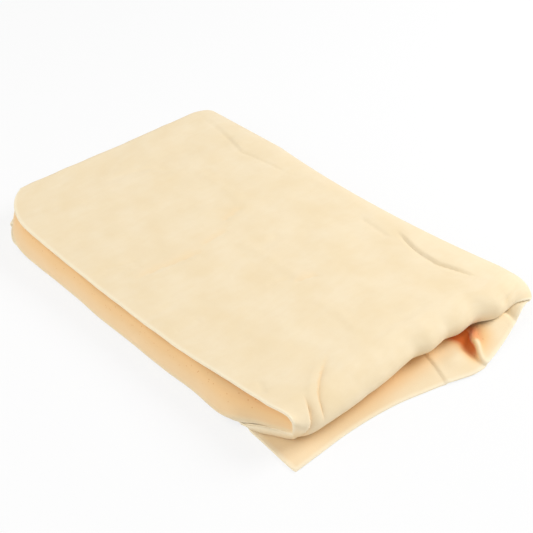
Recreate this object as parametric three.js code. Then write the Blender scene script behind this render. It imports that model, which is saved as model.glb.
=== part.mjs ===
// A folded synthetic chamois cloth: one rectangular sheet, folded lengthwise at a round spine and crosswise
// at a hidden back end, with the front end of its top layer turned under.
// Millimetres, +Z up. +X runs from the back end to the front, +Y from the open left side to the spine.
// The origin is at the middle of the folded cloth, on the floor.
// Each mesh is one panel or one fold of the sheet.

import * as THREE from 'three';

// The sheet
const SHEET_THICKNESS = 1.5;
const LAYER_GAP = 0.3;
const CLOTH_COLOUR = 0xf3e0ba;
const CLOTH_ROUGHNESS = 0.95;
const CLOTH_METALNESS = 0;

// The folded cloth as a whole
const FOLDED_LENGTH = 338;
const FOLDED_WIDTH = 211;
const TOP_HEIGHT = 25;

// How far the top layer rises or sags along its open left edge
const FRONT_CORNER_LIFT = 6;
const BACK_CORNER_LIFT = 3.5;
const CORNER_LIFT_POWER = 4;
const SIDE_SAG = 2;
const TOP_EDGE_INSET = 5.5;
const TOP_EDGE_BOW = 2.5;
const TOP_CORNER_ROUNDING = 4.5;
const TOP_CORNER_LENGTH = 14;

// Folds
const END_FOLD_DEPTH = 5;
const SPINE_DEPTH = 21.5;
const FRONT_FOLD_DEPTH = 17;
const INNER_SPINE_ROUNDNESS = 1.3;

// The base's front flap, past the front fold
const FLAP_REACH = 31;
const FLAP_CORNER_SETBACK = 23.5;
const FLAP_SWELL_START = 30;
const FLAP_SWELL_END = 137;
const FLAP_SWELL_POWER = 1.7;
const GUSSET_CREASE_Y = 130;
const GUSSET_CREASE_SLANT = 9;

// The front right-hand corner, where the front fold runs forward into the spine's closed end
const CORNER_ADVANCE = 10;
const CORNER_ADVANCE_START = 130;
const CORNER_ADVANCE_END = 190;
const SPINE_END_LENGTH = 17;
const SPINE_END_DROP = 10;
const SPINE_END_ROUNDNESS = 0.85;
const GUSSET_GAP = 2;
const GUSSET_CLEARANCE = 1;
const GUSSET_SLANT = 6;
const GUSSET_LOW_RISE = 3;
const GUSSET_LOW_SHARE = 0.3;
const GUSSET_HIGH_RISE = 8;
const GUSSET_HIGH_SHARE = 0.7;
const GUSSET_HIGH_BACK_SHARE = 0.6;
const GUSSET_FLAT_SHARE = 0.35;
const GUSSET_FLOOR_SHARE = 0.5;
const PLEAT_LENGTH = 8;
const PLEAT_NARROWING = 0.2;
const PLEAT_DROP = 0.3;
const PLEAT_SLIT_ANGLE = 8;

// Inner layers
const INNER_DROP = 4.2;
const INNER_DROP_AT_BACK = 9.5;
const INNER_LOWER_LEVEL = 5;
const INNER_LOWER_LEVEL_AT_BACK = 11;
const END_ROLL_LENGTH = 70;
const END_ROLL_START = 45;
const INNER_RIGHT_SETBACK = 8;
const INNER_LEFT_SETBACK = 11;
const INNER_LOWER_FRONT_SETBACK = 41;
const INNER_UPPER_FRONT_SETBACK = 3;

// The side wall: a rolled shoulder and the margin that hangs from it
const WALL_INSET = 1.6;
const SHOULDER_DEPTH = 11;
const WALL_BEND_HEIGHT = 11;
const WALL_FOOT_INSET = 1.2;
const SHOULDER_SHARE = 0.4;
const WALL_STEP_START = 14;
const WALL_STEP_END = 4;

// The turned-under flap
const TUCK_LENGTH_LEFT = 29;
const TUCK_LENGTH_RIGHT = 14;
const TUCK_LEFT_INSET = 3;
const TUCK_WIDTH = 152;

// Columns and rows of each section's mesh
const INNER_LOWER_CELL_COUNT = [16, 2];
const LOWER_END_CELL_COUNT = [6, 8];
const SPINE_CELL_COUNT = [18, 12];
const INNER_SPINE_CELL_COUNT = [12, 10];
const GUSSET_CELL_COUNT = [8, 20];
const PLEAT_CELL_COUNT = [4, 8];
const TOP_CELL_COUNT = [22, 14];
const UPPER_END_CELL_COUNT = [14, 8];
const INNER_UPPER_CELL_COUNT = [18, 15];
const HANGING_CELL_COUNT = [18, 3];
const FRONT_CELL_COUNT = [14, 12];
const FLAP_EDGE_COUNT = 10;
const NORMAL_STEP_SHARE = 1e-3;

// Places worked out from those sizes
const HALF_SHEET = SHEET_THICKNESS / 2;
const HALF_GAP = LAYER_GAP / 2;
const backX = -FOLDED_LENGTH / 2;
const frontX = FOLDED_LENGTH / 2;
const leftY = -FOLDED_WIDTH / 2;
const spineY = FOLDED_WIDTH / 2;
const panelBackX = backX + END_FOLD_DEPTH;
const foldX = frontX - FLAP_REACH;
const panelFrontX = foldX - FRONT_FOLD_DEPTH;
const flapCornerX = frontX - FLAP_CORNER_SETBACK;
const panelRightY = spineY - SPINE_DEPTH;
const innerRightY = panelRightY - INNER_RIGHT_SETBACK;
const innerLeftY = leftY + INNER_LEFT_SETBACK;
const innerFrontX = panelFrontX - INNER_UPPER_FRONT_SETBACK;
const innerLowerFrontX = panelFrontX - INNER_LOWER_FRONT_SETBACK;
const wallY = leftY + WALL_INSET;
const gussetBackX = foldX + GUSSET_GAP;
const spineEndX = foldX + CORNER_ADVANCE - HALF_SHEET;
const creaseY = leftY + GUSSET_CREASE_Y;
const tuckLevel = SHEET_THICKNESS + LAYER_GAP + HALF_SHEET;
const tuckRightY = leftY + TUCK_LEFT_INSET + TUCK_WIDTH;
const RIGHT_ANGLE = Math.PI / 2;

const { lerp, smoothstep, clamp, degToRad } = THREE.MathUtils;

/** Height of the top layer's middle surface: lifted at its two left corners and sagging between them. */
function topLevel(x, y) {
  const along = clamp((x - backX) / (foldX - backX), 0, 1);
  const across = clamp((y - leftY) / FOLDED_WIDTH, 0, 1);
  const lift = FRONT_CORNER_LIFT * along ** CORNER_LIFT_POWER
    + BACK_CORNER_LIFT * (1 - along) ** CORNER_LIFT_POWER;
  const sag = SIDE_SAG * 4 * along * (1 - along);
  return TOP_HEIGHT - HALF_SHEET + (1 - across) ** 2 * (lift - sag);
}

/** How much the inner layers belong to the thick back roll: 1 at the back end, 0 past the roll's length. */
function backRoll(x) {
  return 1 - smoothstep(x, panelBackX, panelBackX + END_ROLL_LENGTH);
}

/** Height of the second layer from the top: close under it at the left, lower in the back roll. */
function innerLevel(x, y) {
  const roll = backRoll(x) * smoothstep(y, leftY, leftY + END_ROLL_START);
  return topLevel(x, y) - lerp(INNER_DROP, INNER_DROP_AT_BACK, roll);
}

/** Height of the second layer from the floor, which is raised in the back roll. */
function innerLowerLevel(x) {
  return lerp(INNER_LOWER_LEVEL, INNER_LOWER_LEVEL_AT_BACK, backRoll(x));
}

/** X of the top layer's front fold, which runs forward towards the front right-hand corner. */
function foldLineX(y) {
  const start = leftY + CORNER_ADVANCE_START;
  return foldX + CORNER_ADVANCE * smoothstep(y, start, leftY + CORNER_ADVANCE_END);
}

/** Y of the top layer's cut edge: bowed outwards at mid-length and rounded at the back corner. */
function topEdgeY(x) {
  const along = clamp((x - backX) / (foldX - backX), 0, 1);
  const bow = TOP_EDGE_BOW * 4 * along * (1 - along);
  const toCorner = clamp(1 - (x - backX) / TOP_CORNER_LENGTH, 0, 1);
  return leftY + TOP_EDGE_INSET - bow + TOP_CORNER_ROUNDING * toCorner ** 2;
}

/** X of the base's cut front edge: straight at the left, swelling forward towards the gusset. */
function flapEdgeX(y) {
  const run = clamp((y - leftY - FLAP_SWELL_START) / (FLAP_SWELL_END - FLAP_SWELL_START), 0, 1);
  return flapCornerX + (FLAP_CORNER_SETBACK - HALF_SHEET) * run ** FLAP_SWELL_POWER;
}

/** Height where the hanging margin ends: on the base, or on the turned-under flap near the front. */
function wallFoot(x) {
  const layer = SHEET_THICKNESS + LAYER_GAP;
  const tuckBackX = panelFrontX - TUCK_LENGTH_LEFT;
  return layer * (1 + smoothstep(x, tuckBackX - WALL_STEP_START, tuckBackX - WALL_STEP_END));
}

/** A half-ellipse turn: how far out and how high the sheet is at an angle from -90 to 90 degrees. */
function turn(angle, depth, low, high) {
  return {
    out: depth * Math.cos(angle),
    up: (low + high) / 2 + ((high - low) / 2) * Math.sin(angle),
  };
}

/** Top of the spine: level with the top layer, then falling away over its closed front end. */
function spineTop(x) {
  const run = SPINE_END_ROUNDNESS * clamp(1 - (spineEndX - x) / SPINE_END_LENGTH, 0, 1);
  const fall = (1 - Math.sqrt(1 - run ** 2)) / (1 - Math.sqrt(1 - SPINE_END_ROUNDNESS ** 2));
  return topLevel(x, panelRightY) - SPINE_END_DROP * fall;
}

/** Point of the round outer spine at a place along it and an angle from -90 (floor) to 90 degrees (top). */
function spinePoint(x, angle) {
  const depth = SPINE_DEPTH - HALF_SHEET - HALF_GAP;
  const { out, up } = turn(angle, depth, HALF_SHEET, spineTop(x));
  return new THREE.Vector3(x, panelRightY + HALF_GAP + out, up);
}

/**
 * A closed sheet of even thickness round a middle surface, a function of u and v from 0 to 1.
 * The faces lie half a thickness to either side along the surface's normal, and a rim joins their edges.
 */
function sheetGeometry(surface, [columns, rows]) {
  const grid = new THREE.PlaneGeometry(1, 1, columns, rows);
  const uv = grid.getAttribute('uv');
  const faces = grid.getIndex().array;
  const count = uv.count;
  const step = NORMAL_STEP_SHARE;
  const points = new Float32Array(count * 6);
  for (let i = 0; i < count; i += 1) {
    const u = uv.getX(i);
    const v = uv.getY(i);
    const middle = surface(u, v);
    const along = surface(Math.min(u + step, 1), v).sub(surface(Math.max(u - step, 0), v));
    const across = surface(u, Math.min(v + step, 1)).sub(surface(u, Math.max(v - step, 0)));
    const offset = along.cross(across).setLength(HALF_SHEET);
    middle.clone().add(offset).toArray(points, i * 3);
    middle.clone().sub(offset).toArray(points, (count + i) * 3);
  }
  const index = [];
  for (let f = 0; f < faces.length; f += 3) {
    const [a, b, c] = [faces[f], faces[f + 1], faces[f + 2]];
    index.push(a, b, c, count + a, count + c, count + b);
  }
  const rim = rimOf(columns, rows);
  rim.forEach((p, i) => {
    const q = rim[(i + 1) % rim.length];
    index.push(p, count + p, count + q, p, count + q, q);
  });
  const geometry = new THREE.BufferGeometry();
  geometry.setAttribute('position', new THREE.BufferAttribute(points, 3));
  geometry.setIndex(index);
  geometry.computeVertexNormals();
  return geometry;
}

/** Indices round the edge of a plane grid, anticlockwise as seen from its front. */
function rimOf(columns, rows) {
  const at = (column, row) => column + (columns + 1) * row;
  const rim = [];
  for (let c = 0; c < columns; c += 1) {
    rim.push(at(c, rows));
  }
  for (let r = rows; r > 0; r -= 1) {
    rim.push(at(columns, r));
  }
  for (let c = columns; c > 0; c -= 1) {
    rim.push(at(c, 0));
  }
  for (let r = 0; r < rows; r += 1) {
    rim.push(at(0, r));
  }
  return rim;
}

/** A flat panel cut from the sheet, its underside at a given height. */
function flatGeometry(outline, underside) {
  const geometry = new THREE.ExtrudeGeometry(new THREE.Shape(outline), {
    depth: SHEET_THICKNESS,
    bevelEnabled: false,
  });
  geometry.translate(0, 0, underside);
  return geometry;
}

/** Outer lower layer, flat on the floor, with a square cut corner at the front left. */
function basePanel() {
  const endY = creaseY - GUSSET_CREASE_SLANT;
  const outline = [new THREE.Vector2(panelBackX, leftY)];
  for (let i = 0; i <= FLAP_EDGE_COUNT; i += 1) {
    const y = lerp(leftY, endY, i / FLAP_EDGE_COUNT);
    outline.push(new THREE.Vector2(flapEdgeX(y), y));
  }
  outline.push(new THREE.Vector2(gussetBackX, creaseY));
  outline.push(new THREE.Vector2(gussetBackX, panelRightY - HALF_GAP));
  outline.push(new THREE.Vector2(panelBackX, panelRightY - HALF_GAP));
  return flatGeometry(outline, 0);
}

/** Second layer from the floor, shorter than the base and raised towards the back roll. */
function innerLowerPanel() {
  return sheetGeometry((u, v) => {
    const x = lerp(panelBackX, innerLowerFrontX, u);
    const y = lerp(innerLeftY, innerRightY - HALF_GAP, v);
    return new THREE.Vector3(x, y, innerLowerLevel(x));
  }, INNER_LOWER_CELL_COUNT);
}

/** Turn at the back end that joins the base to the second layer. */
function lowerEndFold() {
  return sheetGeometry((u, v) => {
    const y = lerp(innerLeftY, innerRightY - HALF_GAP, u);
    const { out, up } = turn(
      lerp(-RIGHT_ANGLE, RIGHT_ANGLE, v),
      END_FOLD_DEPTH - HALF_SHEET - LAYER_GAP,
      HALF_SHEET,
      innerLowerLevel(panelBackX),
    );
    return new THREE.Vector3(panelBackX - LAYER_GAP - out, y, up);
  }, LOWER_END_CELL_COUNT);
}

/** Round outer fold along the right-hand long side. */
function spineFold() {
  return sheetGeometry((u, v) => {
    const x = lerp(panelBackX, spineEndX, 1 - (1 - u) ** 2);
    return spinePoint(x, lerp(-RIGHT_ANGLE, RIGHT_ANGLE, v));
  }, SPINE_CELL_COUNT);
}

/** Second fold, nested inside the spine, that joins the two inner layers. */
function innerSpineFold() {
  return sheetGeometry((u, v) => {
    const x = lerp(panelBackX, innerLowerFrontX, u);
    const low = innerLowerLevel(x);
    const high = innerLevel(x, innerRightY);
    const depth = (INNER_SPINE_ROUNDNESS * (high - low)) / 2;
    const { out, up } = turn(lerp(-RIGHT_ANGLE, RIGHT_ANGLE, v), depth, low, high);
    return new THREE.Vector3(x, innerRightY + HALF_GAP + out, up);
  }, INNER_SPINE_CELL_COUNT);
}

/** Slack of the base that rises from a crease on the flap to the front right-hand corner. */
function cornerGusset() {
  const creaseEndY = creaseY - GUSSET_CREASE_SLANT + GUSSET_CLEARANCE;
  const swellY = leftY + FLAP_SWELL_END;
  const noseAngle = degToRad(-PLEAT_SLIT_ANGLE);
  const riseX = spineEndX + GUSSET_CLEARANCE;
  const nose = spinePoint(riseX, noseAngle);
  const noseX = riseX + PLEAT_LENGTH;
  const edgeX = frontX - HALF_SHEET;
  const frontEdge = new THREE.CatmullRomCurve3([
    new THREE.Vector3(flapEdgeX(creaseEndY), creaseEndY, HALF_SHEET),
    new THREE.Vector3(edgeX, swellY, HALF_SHEET),
    new THREE.Vector3(edgeX, lerp(swellY, nose.y, GUSSET_LOW_SHARE), GUSSET_LOW_RISE),
    new THREE.Vector3(
      lerp(edgeX, noseX, GUSSET_HIGH_BACK_SHARE),
      lerp(swellY, nose.y, GUSSET_HIGH_SHARE),
      GUSSET_HIGH_RISE,
    ),
    new THREE.Vector3(noseX, lerp(nose.y, panelRightY, PLEAT_NARROWING), nose.z),
  ]);
  const backEdge = (v) => {
    const startX = gussetBackX + GUSSET_CLEARANCE;
    const flatEndY = panelRightY - GUSSET_SLANT;
    if (v < GUSSET_FLAT_SHARE) {
      const y = lerp(creaseY + GUSSET_CLEARANCE, flatEndY, v / GUSSET_FLAT_SHARE);
      return new THREE.Vector3(startX, y, HALF_SHEET);
    }
    if (v < GUSSET_FLOOR_SHARE) {
      const slant = (v - GUSSET_FLAT_SHARE) / (GUSSET_FLOOR_SHARE - GUSSET_FLAT_SHARE);
      const flatEnd = new THREE.Vector3(startX, flatEndY, HALF_SHEET);
      return flatEnd.lerp(spinePoint(riseX, -RIGHT_ANGLE), slant);
    }
    const climb = (v - GUSSET_FLOOR_SHARE) / (1 - GUSSET_FLOOR_SHARE);
    return spinePoint(riseX, lerp(-RIGHT_ANGLE, noseAngle, climb));
  };
  return sheetGeometry((u, v) => backEdge(v).lerp(frontEdge.getPoint(v), u), GUSSET_CELL_COUNT);
}

/** Pinched nose of the spine above the gusset, narrowing forwards. */
function cornerPleat() {
  const x = spineEndX + GUSSET_CLEARANCE;
  const slitAngle = degToRad(PLEAT_SLIT_ANGLE);
  const slit = spinePoint(x, slitAngle);
  return sheetGeometry((u, v) => {
    const point = spinePoint(x, lerp(slitAngle, RIGHT_ANGLE, v));
    point.x += PLEAT_LENGTH * u;
    point.y = lerp(point.y, panelRightY, PLEAT_NARROWING * u * u);
    point.z = lerp(point.z, slit.z, PLEAT_DROP * u * u);
    return point;
  }, PLEAT_CELL_COUNT);
}

/** Outer upper layer: the large face, crowned, with its cut edge along the left. */
function topPanel() {
  return sheetGeometry((u, v) => {
    const frontEndX = foldLineX(lerp(leftY, panelRightY, v)) - FRONT_FOLD_DEPTH;
    const x = lerp(panelBackX, frontEndX, u);
    const y = lerp(topEdgeY(x), panelRightY - HALF_GAP, v);
    return new THREE.Vector3(x, y, topLevel(x, y));
  }, TOP_CELL_COUNT);
}

/** Turn at the back end that joins the top layer to the one under it. */
function upperEndFold() {
  return sheetGeometry((u, v) => {
    const y = lerp(topEdgeY(backX), panelRightY - HALF_GAP, u);
    const { out, up } = turn(
      lerp(-RIGHT_ANGLE, RIGHT_ANGLE, v),
      END_FOLD_DEPTH - HALF_SHEET - LAYER_GAP,
      innerLevel(panelBackX, y),
      topLevel(panelBackX, y),
    );
    return new THREE.Vector3(panelBackX - LAYER_GAP - out, y, up);
  }, UPPER_END_CELL_COUNT);
}

/** Layer under the top one; its left margin rolls over a shoulder to the side wall's widest line. */
function innerUpperPanel() {
  const shoulderY = wallY + SHOULDER_DEPTH;
  return sheetGeometry((u, v) => {
    const x = lerp(panelBackX, innerFrontX, u);
    if (v > SHOULDER_SHARE) {
      const across = (v - SHOULDER_SHARE) / (1 - SHOULDER_SHARE);
      const y = lerp(shoulderY, innerRightY - HALF_GAP, across);
      return new THREE.Vector3(x, y, innerLevel(x, y));
    }
    const roll = RIGHT_ANGLE * (1 - v / SHOULDER_SHARE);
    const high = innerLevel(x, shoulderY);
    const y = shoulderY - SHOULDER_DEPTH * Math.sin(roll);
    return new THREE.Vector3(x, y, lerp(WALL_BEND_HEIGHT, high, Math.cos(roll)));
  }, INNER_UPPER_CELL_COUNT);
}

/** Free margin of that layer, hanging from the widest line down to the base. */
function hangingEdge() {
  return sheetGeometry((u, v) => {
    const x = lerp(panelBackX, innerFrontX, u);
    const y = wallY + WALL_FOOT_INSET * (1 - v) ** 2;
    return new THREE.Vector3(x, y, lerp(wallFoot(x), WALL_BEND_HEIGHT - LAYER_GAP, v));
  }, HANGING_CELL_COUNT);
}

/** Roll where the top layer turns down and under at the front. */
function frontFold() {
  return sheetGeometry((u, v) => {
    const y = lerp(topEdgeY(panelFrontX), panelRightY - HALF_GAP, u);
    const { out, up } = turn(
      lerp(RIGHT_ANGLE, -RIGHT_ANGLE, v),
      FRONT_FOLD_DEPTH - HALF_SHEET - LAYER_GAP,
      tuckLevel,
      topLevel(foldLineX(y) - FRONT_FOLD_DEPTH, y),
    );
    return new THREE.Vector3(foldLineX(y) - FRONT_FOLD_DEPTH + LAYER_GAP + out, y, up);
  }, FRONT_CELL_COUNT);
}

/** End of the top layer, turned under and lying on the base, longer at the left. */
function tuckedFlap() {
  const tuckLeftY = leftY + TUCK_LEFT_INSET;
  const outline = [
    new THREE.Vector2(panelFrontX - TUCK_LENGTH_LEFT, tuckLeftY),
    new THREE.Vector2(panelFrontX, tuckLeftY),
    new THREE.Vector2(panelFrontX, tuckRightY),
    new THREE.Vector2(panelFrontX - TUCK_LENGTH_RIGHT, tuckRightY),
  ];
  return flatGeometry(outline, tuckLevel - HALF_SHEET);
}

/** A named section of the sheet. */
function section(name, geometry) {
  const material = new THREE.MeshStandardMaterial({
    color: CLOTH_COLOUR,
    roughness: CLOTH_ROUGHNESS,
    metalness: CLOTH_METALNESS,
  });
  const mesh = new THREE.Mesh(geometry, material);
  mesh.name = name;
  return mesh;
}

const lowerHalf = new THREE.Group();
lowerHalf.add(
  section('base_panel', basePanel()),
  section('inner_lower_panel', innerLowerPanel()),
  section('lower_end_fold', lowerEndFold()),
  section('spine_fold', spineFold()),
  section('inner_spine_fold', innerSpineFold()),
  section('corner_gusset', cornerGusset()),
  section('corner_pleat', cornerPleat()),
);

const upperHalf = new THREE.Group();
upperHalf.add(
  section('top_panel', topPanel()),
  section('upper_end_fold', upperEndFold()),
  section('inner_upper_panel', innerUpperPanel()),
  section('hanging_edge', hangingEdge()),
  section('front_fold', frontFold()),
  section('tucked_flap', tuckedFlap()),
);

const cloth = new THREE.Group();
cloth.add(lowerHalf, upperHalf);

export default cloth;
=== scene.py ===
"""Looks of a folded synthetic chamois cloth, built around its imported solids.

The cloth is one cut sheet. It is folded in half crosswise and in half again lengthwise, its upper
front end is rolled under, and the lower front end sticks out as a flap. Lengths are in millimetres
until a mesh is made. X runs along the folded cloth, from the crosswise fold to the flap, Y from the
open long side to the lengthwise fold, and Z up from the table.
"""

import logging
import math
from abc import ABC, abstractmethod
from dataclasses import dataclass, field
from enum import Enum

import bpy
import numpy as np
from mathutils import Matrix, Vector


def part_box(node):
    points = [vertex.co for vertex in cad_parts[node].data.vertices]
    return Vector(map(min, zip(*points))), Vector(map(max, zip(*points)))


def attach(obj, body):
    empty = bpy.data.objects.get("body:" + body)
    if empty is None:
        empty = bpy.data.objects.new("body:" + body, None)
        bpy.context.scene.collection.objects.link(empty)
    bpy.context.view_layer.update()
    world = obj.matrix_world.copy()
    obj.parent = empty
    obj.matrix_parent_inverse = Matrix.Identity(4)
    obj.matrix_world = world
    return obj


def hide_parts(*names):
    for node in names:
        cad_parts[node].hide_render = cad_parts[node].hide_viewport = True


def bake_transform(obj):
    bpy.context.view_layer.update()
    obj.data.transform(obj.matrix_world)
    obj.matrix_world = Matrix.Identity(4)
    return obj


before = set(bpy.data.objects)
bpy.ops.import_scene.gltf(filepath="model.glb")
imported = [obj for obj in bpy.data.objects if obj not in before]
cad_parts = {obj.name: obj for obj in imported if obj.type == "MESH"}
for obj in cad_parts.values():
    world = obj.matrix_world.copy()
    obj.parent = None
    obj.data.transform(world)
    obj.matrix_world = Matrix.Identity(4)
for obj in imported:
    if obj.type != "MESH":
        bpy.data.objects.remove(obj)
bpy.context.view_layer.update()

LOG = logging.getLogger("chamois")
MM = 0.001
CLOTH_THICKNESS = 1.5

# Finest divisions: lattice of the hills, samples of a crowded grid line, lines on a rounded rim
LATTICE_COUNT = 64
SAMPLE_COUNT = 2000
RIM_COUNT = 6
# Limits: steepest share of a rounded corner, least share and normal to divide by, a distance past any edge
STEEPEST = 0.98
LEAST_SHARE = 1e-6
LEAST_NORMAL = 1e-12
FAR = 1e3
# Middle of the cloth's foot
ORIGIN = (0.0, 0.0, 0.0)

Array = np.ndarray
Pair = tuple[float, float]
Point = tuple[float, float, float]
Colour = tuple[float, float, float]
Tree = bpy.types.NodeTree
Socket = bpy.types.NodeSocket


class Body(str, Enum):
    """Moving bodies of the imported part."""

    LOWER = "lower_half"
    UPPER = "upper_half"
    SIDE = "side_edge"
    TUCK = "tuck"


def smooth(value: Array | float, low: float, high: float) -> Array:
    """Rises from 0 to 1 between two values: three t squared less two t cubed of the clamped share t.

    Args:
        value: Where the rise is asked for.
        low: Value at which it starts.
        high: Value at which it is complete.

    Returns:
        The risen share, from 0 to 1.
    """
    share = np.clip((np.asarray(value, float) - low) / (high - low), 0.0, 1.0)
    return share * share * (3.0 - 2.0 * share)


def mix(low: Array | float, high: Array | float, share: Array | float) -> Array:
    """Straight mix of two values: low where share is 0 and high where it is 1."""
    return low + (high - low) * share


def ease(share: Array) -> Array:
    """Eases from 0 to 1: ten t cubed, less fifteen t to the fourth, plus six t to the fifth."""
    return share**3 * (share * (6.0 * share - 15.0) + 10.0)


def soft_hills(x: Array, y: Array, size: float, seed: int) -> Array:
    """Smooth random hills: seeded values on a square lattice, joined by a five-power ease between them.

    Args:
        x: First coordinate.
        y: Second coordinate.
        size: Lattice spacing, about half the distance from hill to hill.
        seed: Seed of the lattice values.

    Returns:
        Heights between -1 and 1.
    """
    lattice = np.random.default_rng(seed).uniform(-1.0, 1.0, (LATTICE_COUNT, LATTICE_COUNT))
    u, v = x / size, y / size
    column, row = np.floor(u).astype(int), np.floor(v).astype(int)
    over, down = ease(u - column), ease(v - row)
    left, right = column % LATTICE_COUNT, (column + 1) % LATTICE_COUNT
    near, far = row % LATTICE_COUNT, (row + 1) % LATTICE_COUNT
    first = mix(lattice[near, left], lattice[near, right], over)
    second = mix(lattice[far, left], lattice[far, right], over)
    return mix(first, second, down)


def knot_weights(places: Array, knots: Array) -> Array:
    """Weights of a smooth curve's knots: cubic pieces whose slope at a knot is that of its two neighbours.

    Args:
        places: Places along the curve.
        knots: Rising places of the knots.

    Returns:
        One row per place with one weight per knot.
    """
    count = len(knots)
    values = np.eye(count)
    slopes = np.empty((count, count))
    slopes[1:-1] = (values[2:] - values[:-2]) / (knots[2:] - knots[:-2])[:, None]
    slopes[0] = (values[1] - values[0]) / (knots[1] - knots[0])
    slopes[-1] = (values[-1] - values[-2]) / (knots[-1] - knots[-2])
    index = np.clip(np.searchsorted(knots, places, side="right") - 1, 0, count - 2)
    width = (knots[index + 1] - knots[index])[:, None]
    t = (places - knots[index])[:, None] / width
    return (
        (2 * t**3 - 3 * t**2 + 1) * values[index]
        + (t**3 - 2 * t**2 + t) * width * slopes[index]
        + (3 * t**2 - 2 * t**3) * values[index + 1]
        + (t**3 - t**2) * width * slopes[index + 1]
    )


def through(places: Array, points: tuple[Pair, ...]) -> Array:
    """Smooth curve through a few points, at places of any shape: the knots' values by their weights.

    Args:
        places: Places along the curve.
        points: Pairs of a place and the value there.

    Returns:
        The curve's values, held level outside the points.
    """
    table = np.array(points, float)
    flat = np.clip(np.asarray(places, float).ravel(), table[0, 0], table[-1, 0])
    return (knot_weights(flat, table[:, 0]) @ table[:, 1]).reshape(np.shape(places))


def rounding(way: Array | float, reach: float, rise: float) -> Array:
    """Rise of a quarter ellipse: nothing up to way 0, then ever steeper until the reach."""
    share = np.clip(np.asarray(way, float) / reach, 0.0, STEEPEST)
    return rise * (1.0 - np.sqrt(1.0 - share**2))


def run_length(points: Array, axis: int) -> Array:
    """Distances along the lines of a grid.

    Args:
        points: Points, rows by columns by three.
        axis: 0 to follow the columns, 1 to follow the rows.

    Returns:
        Distance of each point from the start of its line.
    """
    steps = np.linalg.norm(np.diff(points, axis=axis), axis=-1)
    start = np.zeros_like(np.take(steps, [0], axis=axis))
    return np.concatenate([start, np.cumsum(steps, axis=axis)], axis=axis)


def spread(low: float, high: float, step: float) -> Array:
    """Evenly spaced values from low to high, both included, about a step apart."""
    return np.linspace(low, high, max(2, int(round(abs(high - low) / step)) + 1))


def dense(low: float, high: float, step: float, spots: tuple["Spot", ...]) -> Array:
    """Values from low to high, a step apart but closer at the given spots.

    The number of values per length is raised by a bell at each spot, and the values are read off the
    running sum of that number.

    Args:
        low: First value.
        high: Last value.
        step: Spacing away from the spots.
        spots: Where the values are closer.

    Returns:
        Rising values, both ends included.
    """
    fine = np.linspace(low, high, SAMPLE_COUNT)
    bells = (spot.extra * np.exp(-(((fine - spot.middle) / spot.width) ** 2)) for spot in spots)
    crowd = sum(bells, np.ones_like(fine))
    total = np.concatenate([[0.0], np.cumsum((crowd[1:] + crowd[:-1]) / 2 * np.diff(fine))]) / step
    return np.interp(np.linspace(0.0, total[-1], int(round(total[-1])) + 1), total, fine)


def edge_first(length: float, step: float, radius: float, spots: tuple["Spot", ...] = ()) -> Array:
    """Distances from a cut edge: close together on its rounded rim, then a step apart.

    Args:
        length: Last distance.
        step: Spacing away from the rim.
        radius: Radius of the rim.
        spots: Where the distances are closer.

    Returns:
        Rising distances from 0.
    """
    rim = radius * (1.0 - np.cos(np.linspace(0.0, math.pi / 2, RIM_COUNT)))
    return np.concatenate([rim, dense(radius, length, step, spots)[1:]])


def half_turn(start: Array, end: Array, depth: Array, rows: int) -> Array:
    """Points round a fold between two rows: half an ellipse that bulges towards the back.

    Args:
        start: Row at which the turn ends.
        end: Row at which it starts, on the other layer.
        depth: Depth of the bulge along X.
        rows: Number of rows of the turn.

    Returns:
        Points, the last row being the start row.
    """
    angle = np.linspace(math.pi, 0.0, rows)[:, None, None]
    bulge = np.stack([-depth, 0 * depth, 0 * depth], -1)
    return (start + end) / 2 + (start - end) / 2 * np.cos(angle) + bulge * np.sin(angle)


@dataclass(frozen=True)
class Ramp:
    """A smooth rise from one value to another, which may be the smaller one.

    Attributes:
        low: Value at which the rise starts.
        high: Value at which it is complete.
    """

    low: float
    high: float

    def up(self, value: Array | float, origin: float = 0.0) -> Array:
        """Risen share of a value, with both ends of the ramp measured from the origin."""
        return smooth(value, origin + self.low, origin + self.high)

    def down(self, value: Array | float, origin: float = 0.0) -> Array:
        """Share that is left to rise."""
        return 1.0 - self.up(value, origin)


@dataclass(frozen=True)
class Gain:
    """A distance, height or warmth that is gained over a ramp.

    Attributes:
        size: What is gained in all.
        ramp: Values over which it is gained.
    """

    size: float
    ramp: Ramp

    def at(self, value: Array | float, origin: float = 0.0) -> Array:
        """What has been gained at a value, with the ramp measured from the origin."""
        return self.size * self.ramp.up(value, origin)


@dataclass(frozen=True)
class Band:
    """A stretch of values that starts and ends softly.

    Attributes:
        start: Values over which it starts.
        end: Values over which it ends.
    """

    start: Ramp
    end: Ramp

    def at(self, value: Array | float) -> Array:
        """Strength of the band at a value: what has started, times what has not ended."""
        return self.start.up(value) * self.end.down(value)


@dataclass(frozen=True)
class Corner:
    """A rounded corner in the run of an edge: a quarter ellipse.

    Attributes:
        start: X at which the edge starts to turn in.
        reach: Length of the corner along X.
        rise: Distance by which the edge has turned in at its end.
    """

    start: float
    reach: float
    rise: float

    def behind(self, x: Array) -> Array:
        """Distance by which the edge has turned in, for a corner at the back."""
        return rounding(self.start - x, self.reach, self.rise)

    def ahead(self, x: Array) -> Array:
        """Distance by which the edge has turned in, for a corner at the front."""
        return rounding(x - self.start, self.reach, self.rise)


@dataclass(frozen=True)
class Hills:
    """Slow random unevenness of a layer.

    Attributes:
        height: Greatest height.
        size: Lattice spacing, about half the distance from hill to hill.
        seed: Seed of the lattice.
        slant: Slope by which the hills run across the cloth.
        squeeze: Factor by which they are closer across than along.
    """

    height: float
    size: float
    seed: int
    slant: float = 0.0
    squeeze: float = 1.0

    def at(self, along: Array, across: Array) -> Array:
        """Heights at places along and across the cloth: the soft hills on turned and squeezed places."""
        u, v = along + self.slant * across, across - self.slant * along
        return self.height * soft_hills(u, v * self.squeeze, self.size, self.seed)


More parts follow.
